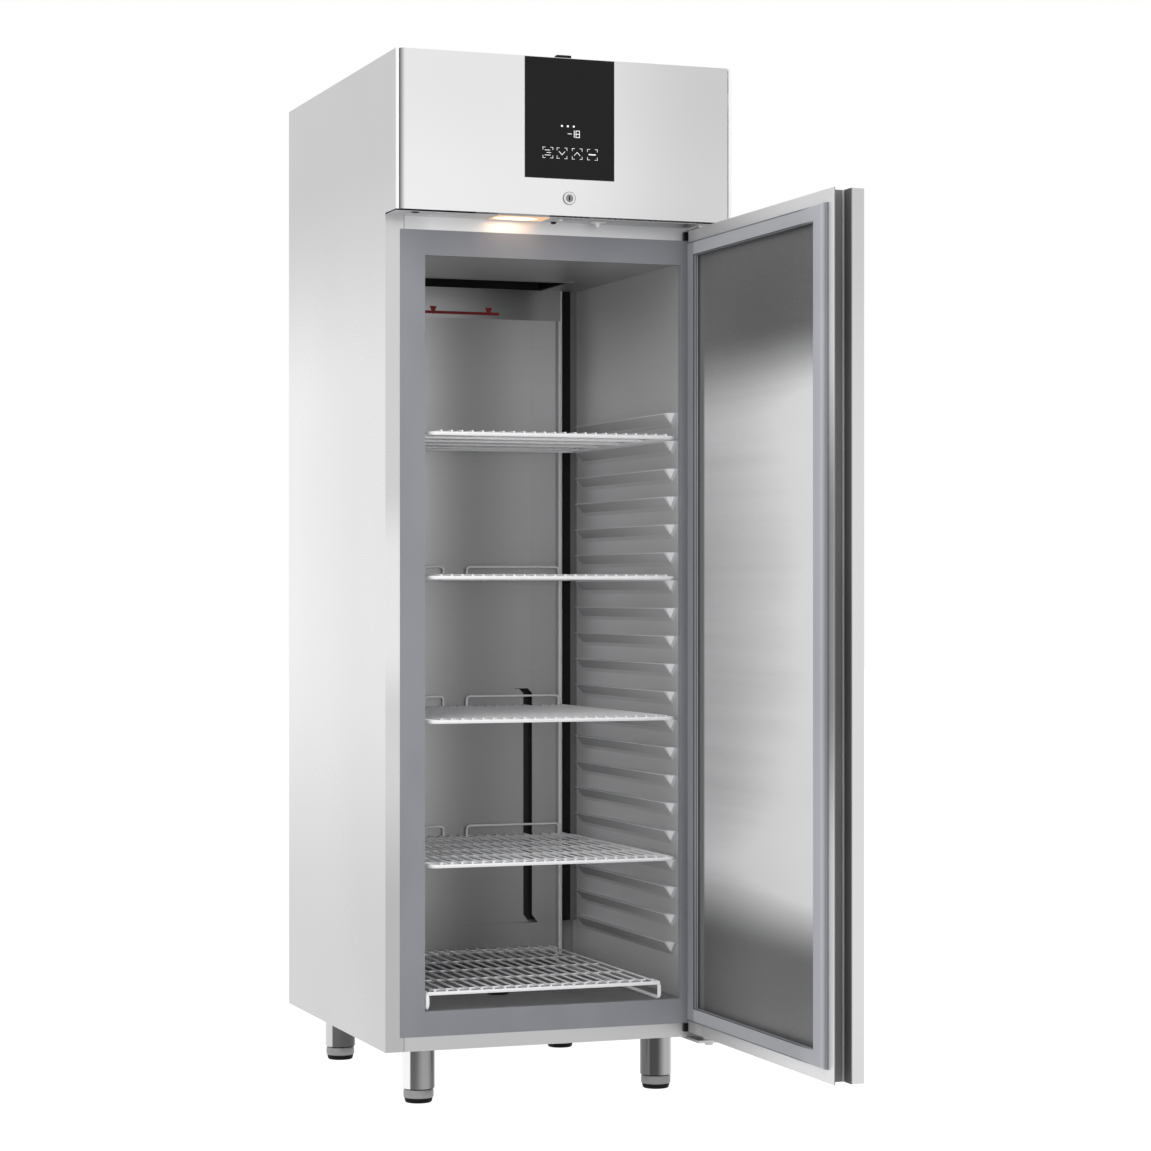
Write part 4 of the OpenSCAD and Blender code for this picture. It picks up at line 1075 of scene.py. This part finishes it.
def bent(points, radius, steps=4):
    """The polyline with its inner corners rounded."""
    out = [Vector(points[0])]
    for before, at, after in zip(points, points[1:], points[2:]):
        at = Vector(at)
        to_before = (Vector(before) - at).normalized() * radius
        to_after = (Vector(after) - at).normalized() * radius
        for i in range(steps + 1):
            t = i / steps
            out.append(
                (1 - t) ** 2 * (at + to_before) + 2 * t * (1 - t) * at
                + t ** 2 * (at + to_after)
            )
    out.append(Vector(points[-1]))
    return out


def finish_wires(name, pieces, node):
    made = join(name, pieces)
    bpy.ops.object.shade_smooth_by_angle(angle=math.radians(50))
    wear(made, wire_steel)
    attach(made, node)
    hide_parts(node)


def lattice(level, front, back, middle, half, count, cross_half, inset):
    """The top wires from front to back, and the cross wires that carry them."""
    made = []
    for i in range(count):
        x = middle - half + 2 * half * i / (count - 1)
        z = level + TOP_LIFT
        made.append(wire([(x, front - OVERHANG, z), (x, back + OVERHANG, z)], TOP_R))
    for i in range(CROSS_WIRES):
        y = front + inset + (back - front - 2 * inset) * i / (CROSS_WIRES - 1)
        z = level + CROSS_LIFT
        made.append(
            wire([(middle - cross_half, y, z), (middle + cross_half, y, z)], CROSS_R)
        )
    return made


SHELVES = ("shelf_top", "shelf_upper", "shelf_lower", "shelf_bottom")
shelf_low, shelf_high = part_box("shelf_top")
front = shelf_low.y + 0.0003 + FRAME_R
back = shelf_high.y - 0.0003 - FRAME_R
inner = SHELF_HALF - CORNER_R
for name in SHELVES:
    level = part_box(name)[0].z + FRAME_R
    ring = []
    for cx, cy, start in (
        (inner, back - CORNER_R, 0), (-inner, back - CORNER_R, 90),
        (-inner, front + CORNER_R, 180), (inner, front + CORNER_R, 270),
    ):
        ring += [(x, y, level) for x, y in arc(cx, cy, CORNER_R, start, 6)]
    wires = [wire(ring, FRAME_R, closed=True)]
    wires += lattice(
        level, front, back, 0.0, SHELF_HALF - 0.021, TOP_WIRES, SHELF_HALF, 0.056
    )
    for left, right in STOPS:
        hoop = [(left, back, level), (left, back, level + STOP_RISE),
                (right, back, level + STOP_RISE), (right, back, level)]
        wires.append(wire(bent(hoop, 0.009), CROSS_R))
    finish_wires(name + "_wires", wires, name)

grid_low, grid_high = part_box("floor_grid")
GRID_HALF = 0.247
GRID_MIDDLE = -0.021
GRID_WIRES = 20
GRID_LEVEL = 0.23
rest = grid_low.z + FRAME_R
front = grid_low.y + 0.003
back = grid_high.y - 0.003
wires = []
grid_left, grid_right = GRID_MIDDLE - GRID_HALF, GRID_MIDDLE + GRID_HALF
for y in (front, back):
    wires.append(wire([(grid_left, y, GRID_LEVEL), (grid_right, y, GRID_LEVEL)], FRAME_R))
for x in (grid_left, grid_right):
    runner = [
        (x, front + 0.04, GRID_LEVEL), (x, front, GRID_LEVEL), (x, front, rest),
        (x, back - 0.008, rest), (x, back, GRID_LEVEL),
    ]
    wires.append(wire(bent(runner, 0.0145, 6), FRAME_R))
top_half = GRID_HALF - 0.015
wires += lattice(
    GRID_LEVEL, front, back, GRID_MIDDLE, top_half, GRID_WIRES, top_half, 0.04
)
finish_wires("floor_grid_wires", wires, "floor_grid")


# Cooling unit behind the fascia: a black compressor, finned coils, motors in grey
# paint and copper pipes with brazed joints.

black_paint = moulded("compressor_paint", grey(0.015), grey(0.03), 0.3, 120.0)
wear(None, black_paint, "compressor")
fins = brushed_steel("coil_fins", 0.55, 0.7, 0.35, (80.0, 80.0, 80.0))
wear(None, fins, "condenser_coil", "evaporator_coil")
motor_paint = moulded("motor_paint", grey(0.1), grey(0.13), 0.5)
wear(None, motor_paint, "condenser_motor", "evaporator_motor", "electrical_box")
copper = Finish("copper_tube", Metallic=1.0)
tarnish = copper.noise((25, 25, 25), 3.0)
copper.set(
    Base_Color=copper.blend(tarnish, (0.72, 0.34, 0.2, 1), (0.42, 0.2, 0.12, 1)),
    Roughness=0.25 + tarnish * 0.3,
)
wear(None, copper, "refrigerant_pipes")


# Stage: a white floor that keeps the shadow, a white surround, soft lamps and the
# camera.

WORLD_LIGHT = 0.75
FLOOR_SHOWN = 0.8
FLOOR_WHITE = 1.2
WHITE = (1, 1, 1, 1)


def background_ray(tree):
    """1 for rays that show the background: seen, mirrored or through glass."""
    path = tree.nodes.new("ShaderNodeLightPath")
    rays = [
        Socket(tree, path.outputs[name])
        for name in ("Is Camera Ray", "Is Glossy Ray", "Is Transmission Ray")
    ]
    return (rays[0] + rays[1] + rays[2]).step_up(0.0, 1.0)


def show_both(tree, lit, seen, amount, output):
    """Sends a mix of the lit and the seen shader to the output."""
    mixed = tree.nodes.new("ShaderNodeMixShader")
    for place, source in zip(mixed.inputs, (amount.output, lit, seen)):
        tree.links.new(source, place)
    tree.links.new(mixed.outputs[0], tree.nodes[output].inputs["Surface"])


bpy.ops.mesh.primitive_plane_add(size=60.0)
floor = bpy.context.object
floor.name = "floor"
floor_paint = Finish("floor_paint", Roughness=0.9, Base_Color=(0.9, 0.9, 0.9, 1))
white = floor_paint.node(
    "ShaderNodeEmission", sockets={"Color": WHITE, "Strength": FLOOR_WHITE}
)
show_both(
    floor_paint.tree, floor_paint.surface.outputs[0], white.output,
    background_ray(floor_paint.tree) * FLOOR_SHOWN, "Material Output",
)
wear(floor, floor_paint)

world = bpy.data.worlds.new("surround")
bpy.context.scene.world = world
world.use_nodes = True
tree = world.node_tree
lit = tree.nodes["Background"]
seen = tree.nodes.new("ShaderNodeBackground")
for shader, strength in ((lit, WORLD_LIGHT), (seen, 1.0)):
    shader.inputs["Color"].default_value = WHITE
    shader.inputs["Strength"].default_value = strength
show_both(tree, lit.outputs[0], seen.outputs[0], background_ray(tree), "World Output")


def soft_lamp(name, place, aim, size, power):
    """A wide lamp aimed at a point, which mirrored rays don't see."""
    bpy.ops.object.light_add(type="AREA", location=place)
    lamp = bpy.context.object
    lamp.name = name
    lamp.data.size = size
    lamp.data.energy = power
    lamp.visible_glossy = False
    aimed = (Vector(aim) - Vector(place)).to_track_quat("-Z", "Y")
    lamp.rotation_euler = aimed.to_euler()


soft_lamp("key", (-4.2, -3.6, 2.1), (0.2, 0, 1.0), 4.0, 72)
soft_lamp("top", (-0.5, -2.5, 5.0), (0, 0, 1.0), 2.5, 30)

CAMERA_PLACE = (-2.00341, -5.6544, 1.02785)
CAMERA_TURN = math.radians(19.976)
bpy.ops.object.camera_add(
    location=CAMERA_PLACE, rotation=(math.pi / 2, 0, -CAMERA_TURN)
)
camera = bpy.context.object
camera.data.sensor_width = 36.0
camera.data.lens = 92.80
camera.data.shift_y = 0.0141
bpy.context.scene.camera = camera
bpy.context.scene.view_settings.view_transform = "Standard"
